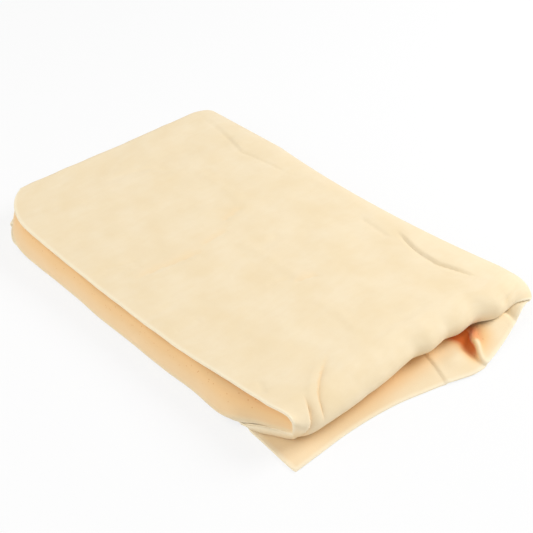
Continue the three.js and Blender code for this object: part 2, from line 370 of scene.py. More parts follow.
@dataclass(frozen=True)
class Spot:
    """A place along a grid at which its lines are closer.

    Attributes:
        middle: Where they are closest.
        width: Half width of the closer part.
        extra: Lines added there for each one elsewhere.
    """

    middle: float
    width: float
    extra: float


@dataclass(frozen=True)
class Crease:
    """A line pressed into the cloth, with one side standing a little higher.

    Attributes:
        path: Points of the line, in X and Y.
        depth: Depth of the valley on the line, below 0 for a ridge.
        width: Half width of the valley.
        step: Extra height just left of the line, seen along it, below 0 for a drop.
        reach: Distance over which the extra height fades.
        line_shade: Painted warm shade in the depth of the line, fading to its left like the step.
        run: Shares of the line over which it starts and ends.
    """

    path: tuple[Pair, ...]
    depth: float
    width: float
    step: float = 0.0
    reach: float = 12.0
    line_shade: float = 0.0
    run: Band = Band(Ramp(0.0, 0.25), Ramp(0.75, 1.0))

    def beside(self, x: Array, y: Array) -> tuple[Array, Array, Array]:
        """Where points lie beside the line.

        Args:
            x: X of the points.
            y: Y of the points.

        Returns:
            Distance from the line, side of it with 1 on the left, and strength, which fades at both ends.
        """
        points = np.array(self.path, float)
        nearest = np.full(np.shape(x), np.inf)
        side = np.zeros(np.shape(x))
        share = np.zeros(np.shape(x))
        count = len(points) - 1
        for index, (start, end) in enumerate(zip(points[:-1], points[1:])):
            leg = end - start
            raw = ((x - start[0]) * leg[0] + (y - start[1]) * leg[1]) / (leg @ leg)
            t = np.clip(raw, 0.0, 1.0)
            dx, dy = x - start[0] - t * leg[0], y - start[1] - t * leg[1]
            distance = np.hypot(dx, dy)
            closer = distance < nearest
            nearest = np.where(closer, distance, nearest)
            side = np.where(closer, np.sign(leg[0] * dy - leg[1] * dx), side)
            share = np.where(closer, (index + t) / count, share)
        return nearest, side, self.run.at(share)

    def height(self, x: Array, y: Array) -> Array:
        """Height added by the crease: a bell-shaped valley across the line and a fading step beside it.

        Args:
            x: X of the points.
            y: Y of the points.

        Returns:
            Added height.
        """
        away, side, strength = self.beside(x, y)
        bell = np.exp(-((away / self.width) ** 2))
        bank = self.step * (side > 0) * np.exp(-away / self.reach) * (1.0 - bell)
        return (bank - self.depth * bell) * strength

    def tone(self, x: Array, y: Array) -> Array:
        """Painted shade added by the crease: full at the line, fading to its left like the step.

        Args:
            x: X of the points.
            y: Y of the points.

        Returns:
            Added painted shade.
        """
        away, side, strength = self.beside(x, y)
        return self.line_shade * np.exp(-away / self.reach) * (side > 0) * strength


@dataclass(frozen=True)
class FoldPlan:
    """Main lines of the folded cloth, shared by its layers.

    Attributes:
        thickness: Thickness of the cloth.
        back: X of the crosswise fold's outermost line.
        panel_back: X at which the crosswise fold starts to turn.
        front: X of the foremost point of the solids.
        left: Y of the open long side.
        spine_start: Y at which the lengthwise fold starts to turn.
        spine: Y of the lengthwise fold's outermost line in the solids.
        table: Height of the lowest layer's middle.
        cover: Height of the top layer's middle away from its lifted edge.
        tuck: Height of the turned-under end's middle.
        front_lift: Height by which the top layer's front corner lifts at the open side.
        back_lift: Height by which its back corner lifts.
        sag: Depth by which its edge sags between them.
        roll_front: X from which the front roll's foremost line is measured.
        roll_shape: That line: Y, and distance in front of that X.
        flap_shape: The lowest layer's front cut edge: Y and X.
        roll_depth: Depth of the front roll along X.
        nose_depth: Its depth on the lengthwise fold.
        nose_half: Distance by which the lengthwise fold is drawn in over the roll.
        inner_right: Y at which the inner lengthwise fold starts to turn.
        inner_round: Depth of that fold for each length of half its height.
        narrow_start: Y from which the inner layers are narrower than the outer ones.
        edge_inset: Distance of the top layer's cut edge from the open side.
        edge_draw: Distance by which that edge is drawn in at the front, over X.
        edge_corner: Its back corner.
        spine_narrow: Least depth of the lengthwise fold.
        spine_growth: Depth that it gains towards its ends.
        spine_waist: X at which it is least deep.
        spine_reach: Distance from there at which it is deepest.
        back_fade: Length over which the crosswise fold's fullness ends.
        inside: Distances from the open side between which the second layer's margin ends.
        inner_gap: Depth of the second layer under the top one, at its margin and inside.
        inner_fold_gap: Depth added to each at the crosswise fold.
        roll_room: Depths added under the front roll, over X.
        lower_height: Height of the third layer along the cloth.
        lower_fold: Its height at the crosswise fold, at the open side and inside.
        lower_rise: Distances from the open side between which one becomes the other.
        wall_inset: Distance of the hanging edge's line from the open side.
        wall_corner: Its back corner.
        wall_draw: Distance by which it is drawn in at the front, over X.
        wall_waves: Waves of that line: height, length for each radian, and start.
        base_inset: Distance of the lowest layer's cut edge from the open side, along the cloth and ahead.
        base_front: X over which one becomes the other.
        base_hidden: Distance by which that edge lies further in where it is hidden.
        base_out: Distance by which it lies further out at the back.
        base_ahead: X over which it comes into view in front.
        base_behind: X over which it comes into view at the back.
        base_back_corner: Its back corner.
        base_front_corner: Its front corner.
    """

    thickness: float
    back: float
    panel_back: float
    front: float
    left: float
    spine_start: float
    spine: float
    table: float
    cover: float
    tuck: float
    front_lift: float = 10.0
    back_lift: float = 6.0
    sag: float = 3.5
    roll_front: float = 138.5
    roll_shape: tuple[Pair, ...] = (
        (-104, -7.0), (-96, -4.0), (-88, -0.9), (-78, 0.1), (-60, 0.3), (-25, 0.0), (-5, -1.0), (5, -1.3),
        (11, 0.2), (17, 2.0), (26, 1.7), (33, 1.5), (38, 2.8), (43, 4.2), (50, 4.6), (57, 4.7), (62, 6.3),
        (66, 8.5), (70, 10.7), (75, 12.4), (84, 12.4), (93, 12.6), (100, 15.0), (105.5, 19.0),
    )
    flap_shape: tuple[Pair, ...] = (
        (-105, 144.6), (-86, 145.0), (-65, 145.4), (-42, 147.6), (-23, 151.0), (-9, 155.0), (5, 159.3),
        (19, 164.2), (28.5, 167.6), (35, 168.3), (41, 168.2), (46, 167.2), (61, 164.4), (71, 162.2),
        (81, 159.9), (86, 158.8), (89, 158.2), (93, 157.2), (97, 156.5), (101, 156.2),
    )
    roll_depth: float = 17.0
    nose_depth: float = 19.5
    nose_half: float = 15.5
    inner_right: float = 76.0
    inner_round: float = 1.25
    narrow_start: float = 55.0
    edge_inset: float = 3.1
    edge_draw: Gain = Gain(2.8, Ramp(30.0, 110.0))
    edge_corner: Corner = Corner(-120.0, 48.0, 38.0)
    spine_narrow: float = 20.3
    spine_growth: float = 7.5
    spine_waist: float = 20.0
    spine_reach: float = 105.0
    back_fade: float = 70.0
    inside: Ramp = Ramp(16.0, 46.0)
    inner_gap: Pair = (2.1, 4.2)
    inner_fold_gap: Pair = (0.3, 6.6)
    roll_room: tuple[Gain, ...] = (Gain(3.0, Ramp(92.0, 118.0)), Gain(4.0, Ramp(118.0, 131.0)))
    lower_height: float = 5.0
    lower_fold: Pair = (2.7, 11.2)
    lower_rise: Ramp = Ramp(10.5, 33.5)
    wall_inset: float = 1.5
    wall_corner: Corner = Corner(-128.0, 37.0, 32.0)
    wall_draw: Gain = Gain(13.0, Ramp(86.0, 131.0))
    wall_waves: tuple[Point, ...] = ((0.35, 21.0, 0.0), (0.25, 9.0, 2.0))
    base_inset: Pair = (2.4, -0.4)
    base_front: Ramp = Ramp(102.0, 146.0)
    base_hidden: float = 4.4
    base_out: float = 2.0
    base_ahead: Ramp = Ramp(95.0, 106.0)
    base_behind: Ramp = Ramp(-122.0, -150.0)
    base_back_corner: Corner = Corner(-126.0, 50.0, 37.0)
    base_front_corner: Corner = Corner(142.0, 2.8, 1.2)

    @classmethod
    def from_solids(cls, thickness: float) -> "FoldPlan":
        """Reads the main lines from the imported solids' boxes.

        Args:
            thickness: Thickness of the cloth.

        Returns:
            The plan.
        """
        base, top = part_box("base_panel"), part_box("top_panel")
        end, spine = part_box("upper_end_fold"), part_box("spine_fold")
        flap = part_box("tucked_flap")
        return cls(
            thickness=thickness,
            back=end[0].x / MM,
            panel_back=top[0].x / MM,
            front=base[1].x / MM,
            left=base[0].y / MM,
            spine_start=top[1].y / MM,
            spine=spine[1].y / MM,
            table=base[0].z / MM + thickness / 2,
            cover=spine[1].z / MM - thickness / 2,
            tuck=flap[0].z / MM + thickness / 2,
        )

    def top_level(self, x: Array, y: Array) -> Array:
        """Height of the top layer's middle.

        Near the open side both corners lift with the fourth power of the way along, the middle sags
        as a parabola, and all of it fades with the square of the way across.

        Args:
            x: X of the points.
            y: Y of the points.

        Returns:
            Heights.
        """
        along = np.clip((x - self.back) / (self.front - self.back), 0.0, 1.0)
        across = np.clip((y - self.left) / (self.spine - self.left), 0.0, 1.0)
        lift = self.front_lift * along**4 + self.back_lift * (1.0 - along) ** 4
        drop = self.sag * 4.0 * along * (1.0 - along)
        return self.cover + (1.0 - across) ** 2 * (lift - drop)

    def top_edge(self, x: Array) -> Array:
        """Y of the top layer's cut edge: straight, drawn in at the front, a quarter ellipse at the back."""
        return self.left + self.edge_inset + self.edge_draw.at(x) + self.edge_corner.behind(x)

    def roll_line(self, y: Array) -> Array:
        """X of the front roll's foremost line: rounded off at the open side, scalloped to the right."""
        return self.roll_front + through(y, self.roll_shape)

    def roll_start(self, y: Array) -> Array:
        """X at which the front roll starts to turn: a set depth behind its foremost line."""
        depth = mix(self.roll_depth, self.nose_depth, smooth(y, self.spine_start, self.spine))
        return self.roll_line(y) - depth

    def spine_depth(self, x: Array) -> Array:
        """Depth of the lengthwise fold: narrow near the middle, growing with the square of the distance."""
        away = (x - self.spine_waist) / self.spine_reach
        return self.spine_narrow + self.spine_growth * np.clip(away**2, 0.0, 1.0)

    def over_spine(self, turn: Array) -> Array:
        """Y at an angle over the solids' lengthwise fold: part of an ellipse beyond its start."""
        return self.spine_start + (self.spine - self.spine_start) * np.sin(turn)

    def seam(self, x: Array) -> tuple[Array, Array]:
        """Outermost line of the lengthwise fold, along which the upper and the lower half meet.

        It follows the fold's depth, and at the front rounds off as a quarter ellipse.

        Args:
            x: X of the points.

        Returns:
            Y and Z.
        """
        start = self.roll_start(np.array(self.spine))
        nose = rounding(x - start, self.nose_depth, self.nose_half)
        crown = (self.top_level(x, self.spine_start + 0 * x) - self.table) / 2
        return self.spine_start + self.spine_depth(np.minimum(x, start)) - nose, self.table + crown

    def back_roll(self, x: Array) -> Array:
        """Share of the crosswise fold's fullness: 1 at the back end, easing to 0 along the cloth."""
        return 1.0 - smooth(x, self.panel_back, self.panel_back + self.back_fade)

    def inner_level(self, x: Array, y: Array) -> Array:
        """Height of the second layer's middle.

        It lies close under the top layer at its margin, and lower inside, at the crosswise fold and
        under the front roll.

        Args:
            x: X of the points.
            y: Y of the points.

        Returns:
            Heights.
        """
        inside = self.inside.up(y, self.left)
        drop = mix(*self.inner_gap, inside) + self.back_roll(x) * mix(*self.inner_fold_gap, inside)
        roll = sum(depth.at(x) for depth in self.roll_room)
        return self.top_level(x, y) - drop - roll

    def lower_level(self, x: Array, y: Array) -> Array:
        """Height of the third layer's middle: low along the cloth, higher inside the crosswise fold."""
        fold = mix(*self.lower_fold, self.lower_rise.up(y, self.left))
        return mix(self.lower_height, fold, self.back_roll(x))

    def inner_turn(self, x: Array) -> tuple[Array, Array]:
        """Place of the inner lengthwise fold, half way between the two layers that it joins.

        Args:
            x: X of the points.

        Returns:
            Height of its middle, and half of its height.
        """
        right = self.inner_right + 0 * x
        low, high = self.lower_level(x, right), self.inner_level(x, right)
        return (low + high) / 2, (high - low) / 2

    def inner_edge(self, half: Array, turn: Array) -> Array:
        """Y of the inner lengthwise fold: part of an ellipse beyond the line where it starts to turn."""
        return self.inner_right + self.inner_round * half * np.sin(turn)

    def narrowed(self, y: Array) -> Array:
        """Y on the inner layers for a Y on the outer ones: the same, but drawn in near the spine."""
        return y - smooth(y, self.narrow_start, self.spine_start) * (self.spine_start - self.inner_right)

    def wall_line(self, x: Array) -> Array:
        """Y of the hanging edge: a little wavy, rounded in at the back and drawn in at the front roll."""
        wave = sum(height * np.sin(x / length + start) for height, length, start in self.wall_waves)
        return self.left + self.wall_inset + self.wall_corner.behind(x) + self.wall_draw.at(x) + wave

    def base_line(self, x: Array) -> Array:
        """Y of the lowest layer's left cut edge.

        It lies under the hanging edge, but out in view at both ends, where its corners round off as
        quarter ellipses.

        Args:
            x: X of the points.

        Returns:
            Y.
        """
        hidden = self.base_ahead.down(x) * self.base_behind.down(x)
        corner = self.base_back_corner.behind(x) + self.base_front_corner.ahead(x)
        line = self.left + mix(*self.base_inset, self.base_front.up(x)) + self.base_hidden * hidden
        return line - self.base_out * self.base_behind.up(x) + corner

    def flap_line(self, y: Array) -> Array:
        """X of the lowest layer's front cut edge: it swells forward to the right and falls back again."""
        return through(y, self.flap_shape)


def add_object(name: str, data: bpy.types.ID) -> bpy.types.Object:
    """Makes an object of a mesh, light or camera and puts it into the scene, at the origin.

    Args:
        name: Name of the object.
        data: What it shows.

    Returns:
        The new object.
    """
    obj = bpy.data.objects.new(name, data)
    bpy.context.scene.collection.objects.link(obj)
    return obj


def aim(obj: bpy.types.Object, place: Point, target: Point) -> None:
    """Puts a light or camera in its place and turns it to a point."""
    obj.location = place
    obj.rotation_euler = (Vector(target) - Vector(place)).to_track_quat("-Z", "Y").to_euler()


@dataclass
class ClothGrid:
    """Middle surface of a piece of cloth on a grid, with what its closed shell needs.

    Attributes:
        middle: Points, rows by columns by three.
        rim: Distance of each point from the nearest cut edge.
        flat: Place of each point on the sheet laid flat, with a layer number as third value.
        painted_shade: Share of the deep orange painted as warm shade inside the folds.
        thickness: Thickness of the cloth.
        least_edge: Thickness left at the very edge, as a share of the whole.
        pale_rim: Distances from a cut edge between which its painted highlight ends.
    """

    middle: Array
    rim: Array
    flat: Array
    painted_shade: Array
    thickness: float
    least_edge: float = 0.12
    pale_rim: Ramp = Ramp(0.8, 3.4)

    def shell(self) -> tuple[Array, Array, Array, Array]:
        """Both faces of the cloth.

        Each face lies half the thickness off the middle surface, along its normal. Near a cut edge the
        half thickness falls as a quarter circle, so that the edge is rounded.

        Returns:
            Upper points, lower points, upper normals and lower normals.
        """
        radius = self.thickness / 2
        inward = np.clip(1.0 - self.rim / radius, 0.0, 1.0)
        half = radius * np.sqrt(np.clip(1.0 - inward**2, 0.0, 1.0))
        half = np.maximum(half, self.least_edge * radius)
        normal = self.normals(self.middle)
        upper = self.middle + normal * half[..., None]
        lower = self.middle - normal * half[..., None]
        return upper, lower, self.normals(upper), -self.normals(lower)

    @staticmethod
    def normals(points: Array) -> Array:
        """Unit normals of a grid: the cross product of its slopes along rows and along columns."""
        normal = np.cross(np.gradient(points, axis=0), np.gradient(points, axis=1))
        return normal / np.maximum(np.linalg.norm(normal, axis=-1, keepdims=True), LEAST_NORMAL)

    def piece(self, name: str, rows: slice, columns: slice) -> bpy.types.Object:
        """Makes a closed mesh of a block of the grid, with the whole grid's normals.

        Args:
            name: Name of the new object.
            rows: Rows of the block.
            columns: Columns of the block.

        Returns:
            The new object.
        """
        upper, lower, up, down = (part[rows, columns] for part in self.shell())
        height, width = upper.shape[:2]
        points = np.concatenate([upper.reshape(-1, 3), lower.reshape(-1, 3)]) * MM
        normals = np.concatenate([up.reshape(-1, 3), down.reshape(-1, 3)])
        index = np.arange(height * width).reshape(height, width)
        a, b, c, d = index[:-1, :-1], index[1:, :-1], index[1:, 1:], index[:-1, 1:]
        top = np.stack([a, b, c, d], -1).reshape(-1, 4)
        loop = np.concatenate([index[:-1, 0], index[-1, :-1], index[:0:-1, -1], index[0, :0:-1]])
        after = np.roll(loop, -1)
        under = height * width
        side = np.stack([loop + under, after + under, after, loop], -1)
        faces = np.concatenate([top, top[:, ::-1] + under, side]).astype(np.int32)
        mesh = bpy.data.meshes.new(name)
        mesh.vertices.add(len(points))
        mesh.vertices.foreach_set("co", points.astype(np.float32).ravel())
        mesh.loops.add(faces.size)
        mesh.loops.foreach_set("vertex_index", faces.ravel())
        mesh.polygons.add(len(faces))
        mesh.polygons.foreach_set("loop_start", np.arange(0, faces.size, 4, dtype=np.int32))
        mesh.polygons.foreach_set("use_smooth", np.ones(len(faces), bool))
        mesh.update(calc_edges=True)
        self.mark(mesh, "flat", "FLOAT_VECTOR", "vector", self.flat[rows, columns] * MM)
        # Painted light on each point: the painted warm shade in the folds, then the painted highlight on
        # cut edges
        self.mark(mesh, "painted_shade", "FLOAT", "value", self.painted_shade[rows, columns])
        self.mark(mesh, "pale", "FLOAT", "value", self.pale_rim.down(self.rim[rows, columns]))
        mesh.normals_split_custom_set_from_vertices(normals.tolist())
        return add_object(name, mesh)

    @staticmethod
    def mark(mesh: bpy.types.Mesh, name: str, kind: str, key: str, values: Array) -> None:
        """Stores one value per point of both faces.

        Args:
            mesh: Mesh to write to.
            name: Name of the attribute.
            kind: Type of the attribute.
            key: Name of its value.
            values: Values on the block.
        """
        store = mesh.attributes.new(name, kind, "POINT")
        both = np.concatenate([values.reshape(-1), values.reshape(-1)])
        store.data.foreach_set(key, both.astype(np.float32))


@dataclass(frozen=True)
class Grain:
    """A noise on the flat cloth.

    Attributes:
        scale: Grains per metre.
        detail: Number of finer layers.
    """

    scale: float
    detail: float


@dataclass(frozen=True)
class ChamoisFinish:
    """Soft matt napped finish of the cloth, with painted warm shade in its folds and a painted highlight on
    its cut edges.

    Attributes:
        cream: Colour of the open faces.
        deep: Deeper tone that clouds and streaks mix into it.
        half_shade_colour: Painted half shade in the folds, warmed by light through the cloth.
        deep_shade_colour: Painted deep shade inside the folds and hollows.
        edge_highlight: Painted highlight along the cut edges, where light shines through the thin rim.
        pore: Colour of the small pores.
        roughness: Roughness of the nap.
        gloss: Specular level of the fibres.
        sheen: Strength of the soft shine at grazing angles.
        sheen_roughness: Roughness of that shine.
        half_shade_level: Painted shade at which the tone is all painted half shade.
        clouds: Noise of the clouds in the tone.
        cloud_range: Values of that noise from no cloud to the fullest.
        mottle: Strength of the clouds.
        streaks: Noise of the brushed streaks.
        streak_stretch: Scale of the streaks along, across and from layer to layer.
        streak_range: Values of that noise from no streak to the fullest.
        brushing: Strength of the streaks.
        edge_highlight_share: Share of the painted highlight on a cut edge.
        pore_scale: Pores per metre.
        pore_size: Distances from a pore's middle between which it ends, in its own spacing.
        pore_strength: Share of the pores' colour.
        pore_shade_range: Painted shade from which the pores start to show, and at which all of them do.
        fuzz: Noise of the nap.
        nap: Height of the nap, in metres.
        nap_strength: Strength with which the nap turns the light.
    """

    cream: Colour = (0.905, 0.762, 0.528)
    deep: Colour = (0.858, 0.685, 0.42)
    half_shade_colour: Colour = (0.885, 0.575, 0.275)
    deep_shade_colour: Colour = (0.70, 0.16, 0.014)
    edge_highlight: Colour = (0.95, 0.85, 0.64)
    pore: Colour = (0.62, 0.22, 0.05)
    roughness: float = 0.92
    gloss: float = 0.15
    sheen: float = 0.2
    sheen_roughness: float = 0.6
    half_shade_level: float = 0.5
    clouds: Grain = Grain(40.0, 5.0)
    cloud_range: Pair = (0.35, 0.7)
    mottle: float = 0.62
    streaks: Grain = Grain(240.0, 4.0)
    streak_stretch: Point = (1.0, 0.3, 1.0)
    streak_range: Pair = (0.4, 0.7)
    brushing: float = 0.24
    edge_highlight_share: float = 0.7
    pore_scale: float = 300.0
    pore_size: Pair = (0.05, 0.16)
    pore_strength: float = 0.7
    pore_shade_range: Pair = (0.34, 0.5)
    fuzz: Grain = Grain(900.0, 3.0)
    nap: float = 0.00025
    nap_strength: float = 0.35

    def material(self) -> bpy.types.Material:
        """Builds the finish.

        The tone goes from cream over the painted half shade to the painted deep shade with the painted warm
        shade stored on the cloth, which stands in for the shade in its folds, and to the painted highlight
        at its cut edges. A soft noise on the flat cloth makes the tone uneven, a fine one raises the nap,
        and small pores dot the parts with painted shade.

        Returns:
            The new material.
        """
        material = bpy.data.materials.new("chamois_finish")
        material.use_nodes = True
        tree = material.node_tree
        shader = tree.nodes["Principled BSDF"]
        shader.inputs["Roughness"].default_value = self.roughness
        shader.inputs["Specular IOR Level"].default_value = self.gloss
        shader.inputs["Sheen Weight"].default_value = self.sheen
        shader.inputs["Sheen Roughness"].default_value = self.sheen_roughness
        place = self.attribute(tree, "flat").outputs["Vector"]
        painted_shade = self.attribute(tree, "painted_shade").outputs["Fac"]
        pale = self.attribute(tree, "pale").outputs["Fac"]
        tone = self.brushed(tree, place)
        # Painted shade: the stored share mixes in the painted half shade, then the painted deep shade
        half_shade_share = self.mapped(tree, painted_shade, (0.0, self.half_shade_level), (0.0, 1.0))
        tone = self.mixed(tree, half_shade_share, tone, self.half_shade_colour)
        deep_shade_share = self.mapped(tree, painted_shade, (self.half_shade_level, 1.0), (0.0, 1.0))
        tone = self.mixed(tree, deep_shade_share, tone, self.deep_shade_colour)
        # Painted highlight along the cut edges, where light shines through the thin rim
        edge = self.mapped(tree, pale, (0.0, 1.0), (0.0, self.edge_highlight_share))
        tone = self.mixed(tree, edge, tone, self.edge_highlight)
        tone = self.mixed(tree, self.pores(tree, place, painted_shade), tone, self.pore)
        tree.links.new(tone, shader.inputs["Base Color"])
        bump = tree.nodes.new("ShaderNodeBump")
        bump.inputs["Strength"].default_value = self.nap_strength
        bump.inputs["Distance"].default_value = self.nap
        tree.links.new(self.noise(tree, place, self.fuzz), bump.inputs["Height"])
        tree.links.new(bump.outputs["Normal"], shader.inputs["Normal"])
        return material

    def brushed(self, tree: Tree, place: Socket) -> Socket:
        """Adds the cream tone with its clouds and brushed streaks.

        Args:
            tree: Node tree of the material.
            place: Socket with the place on the flat cloth.

        Returns:
            Socket with the tone.
        """
        stretched = tree.nodes.new("ShaderNodeMapping")
        stretched.inputs["Scale"].default_value = self.streak_stretch
        tree.links.new(place, stretched.inputs["Vector"])
        cloudy = self.noise(tree, place, self.clouds)
        cloud = self.mapped(tree, cloudy, self.cloud_range, (0.0, self.mottle))
        fine = self.noise(tree, stretched.outputs["Vector"], self.streaks)
        streak = self.mapped(tree, fine, self.streak_range, (0.0, self.brushing))
        return self.mixed(tree, streak, self.mixed(tree, cloud, self.cream, self.deep), self.deep)

    def pores(self, tree: Tree, place: Socket, painted_shade: Socket) -> Socket:
        """Adds the small pores: dots round scattered points, which show where warm shade is painted.

        Args:
            tree: Node tree of the material.
            place: Socket with the place on the flat cloth.
            painted_shade: Socket with the painted warm shade.

        Returns:
            Socket with the share of the pores' colour.
        """
        cells = tree.nodes.new("ShaderNodeTexVoronoi")
        cells.inputs["Scale"].default_value = self.pore_scale
        tree.links.new(place, cells.inputs["Vector"])
        dot = self.mapped(tree, cells.outputs["Distance"], self.pore_size, (self.pore_strength, 0.0))
        seen = self.mapped(tree, painted_shade, self.pore_shade_range, (0.0, 1.0))
        both = tree.nodes.new("ShaderNodeMath")
        both.operation = "MULTIPLY"
        tree.links.new(dot, both.inputs[0])
        tree.links.new(seen, both.inputs[1])
        return both.outputs["Value"]

    @staticmethod
    def attribute(tree: Tree, name: str) -> bpy.types.Node:
        """Adds a node that reads a value stored on the cloth.

        Args:
            tree: Node tree of the material.
            name: Name of the value.

        Returns:
            The new node.
        """
        node = tree.nodes.new("ShaderNodeAttribute")
        node.attribute_name = name
        return node

    @staticmethod
    def mapped(tree: Tree, value: Socket, source: Pair, target: Pair) -> Socket:
        """Adds a node that maps one range of values to another, clamped.

        Args:
            tree: Node tree of the material.
            value: Socket with the value.
            source: Range of the value.
            target: Range that it becomes.

        Returns:
            Socket with the mapped value.
        """
        node = tree.nodes.new("ShaderNodeMapRange")
        for name, number in zip(("From Min", "From Max", "To Min", "To Max"), (*source, *target)):
            node.inputs[name].default_value = number
        tree.links.new(value, node.inputs["Value"])
        return node.outputs["Result"]

    @staticmethod
    def mixed(tree: Tree, share: Socket, colour: Socket | Colour, other: Colour) -> Socket:
        """Adds a node that mixes a colour with a fixed one.

        Args:
            tree: Node tree of the material.
            share: Socket with the share of the fixed colour.
            colour: First colour, or the socket with it.
            other: The fixed colour.

        Returns:
            Socket with the mixed colour.
        """
        node = tree.nodes.new("ShaderNodeMix")
        node.data_type = "RGBA"
        node.inputs["B"].default_value = (*other, 1.0)
        tree.links.new(share, node.inputs["Factor"])
        if isinstance(colour, tuple):
            node.inputs["A"].default_value = (*colour, 1.0)
        else:
            tree.links.new(colour, node.inputs["A"])
        return node.outputs["Result"]

    @staticmethod
    def noise(tree: Tree, place: Socket, grain: Grain) -> Socket:
        """Adds a noise on the flat cloth.

        Args:
            tree: Node tree of the material.
            place: Socket with the place on the flat cloth.
            grain: Its size and detail.

        Returns:
            Socket with the noise.
        """
        node = tree.nodes.new("ShaderNodeTexNoise")
        node.inputs["Scale"].default_value = grain.scale
        node.inputs["Detail"].default_value = grain.detail
        tree.links.new(place, node.inputs["Vector"])
        return node.outputs["Fac"]


@dataclass
class ClothPart(ABC):
    """A sub-assembly of the cloth: one layer or a run of layers on a common grid.

    Attributes:
        plan: Main lines of the folded cloth.
        pieces: Finished pieces by their names.
    """

    plan: FoldPlan
    pieces: dict[str, bpy.types.Object] = field(default_factory=dict)

    @abstractmethod
    def grid(self) -> ClothGrid:
        """Works out the middle surface of the sub-assembly."""

    @abstractmethod
    def build(self) -> None:
        """Makes the meshes of the sub-assembly."""

    def dress(self, finish: bpy.types.Material) -> None:
        """Gives each piece the finish and logs its number of faces.

        Args:
            finish: Material of the cloth.
        """
        for name, obj in self.pieces.items():
            obj.data.materials.append(finish)
            LOG.info("%s: %d faces", name, len(obj.data.polygons))

    def keep(
        self, grid: ClothGrid, name: str, rows: slice, columns: slice, on: list[str]
    ) -> bpy.types.Object:
        """Args:
            grid: Grid of the sub-assembly.
            name: Name of the piece.
            rows: Rows of the piece.
            columns: Columns of the piece.
            on: Names of what it lies on; not used.

        Returns:
            The new object.
        """
        obj = grid.piece(name, rows, columns)
        self.pieces[name] = obj
        return obj


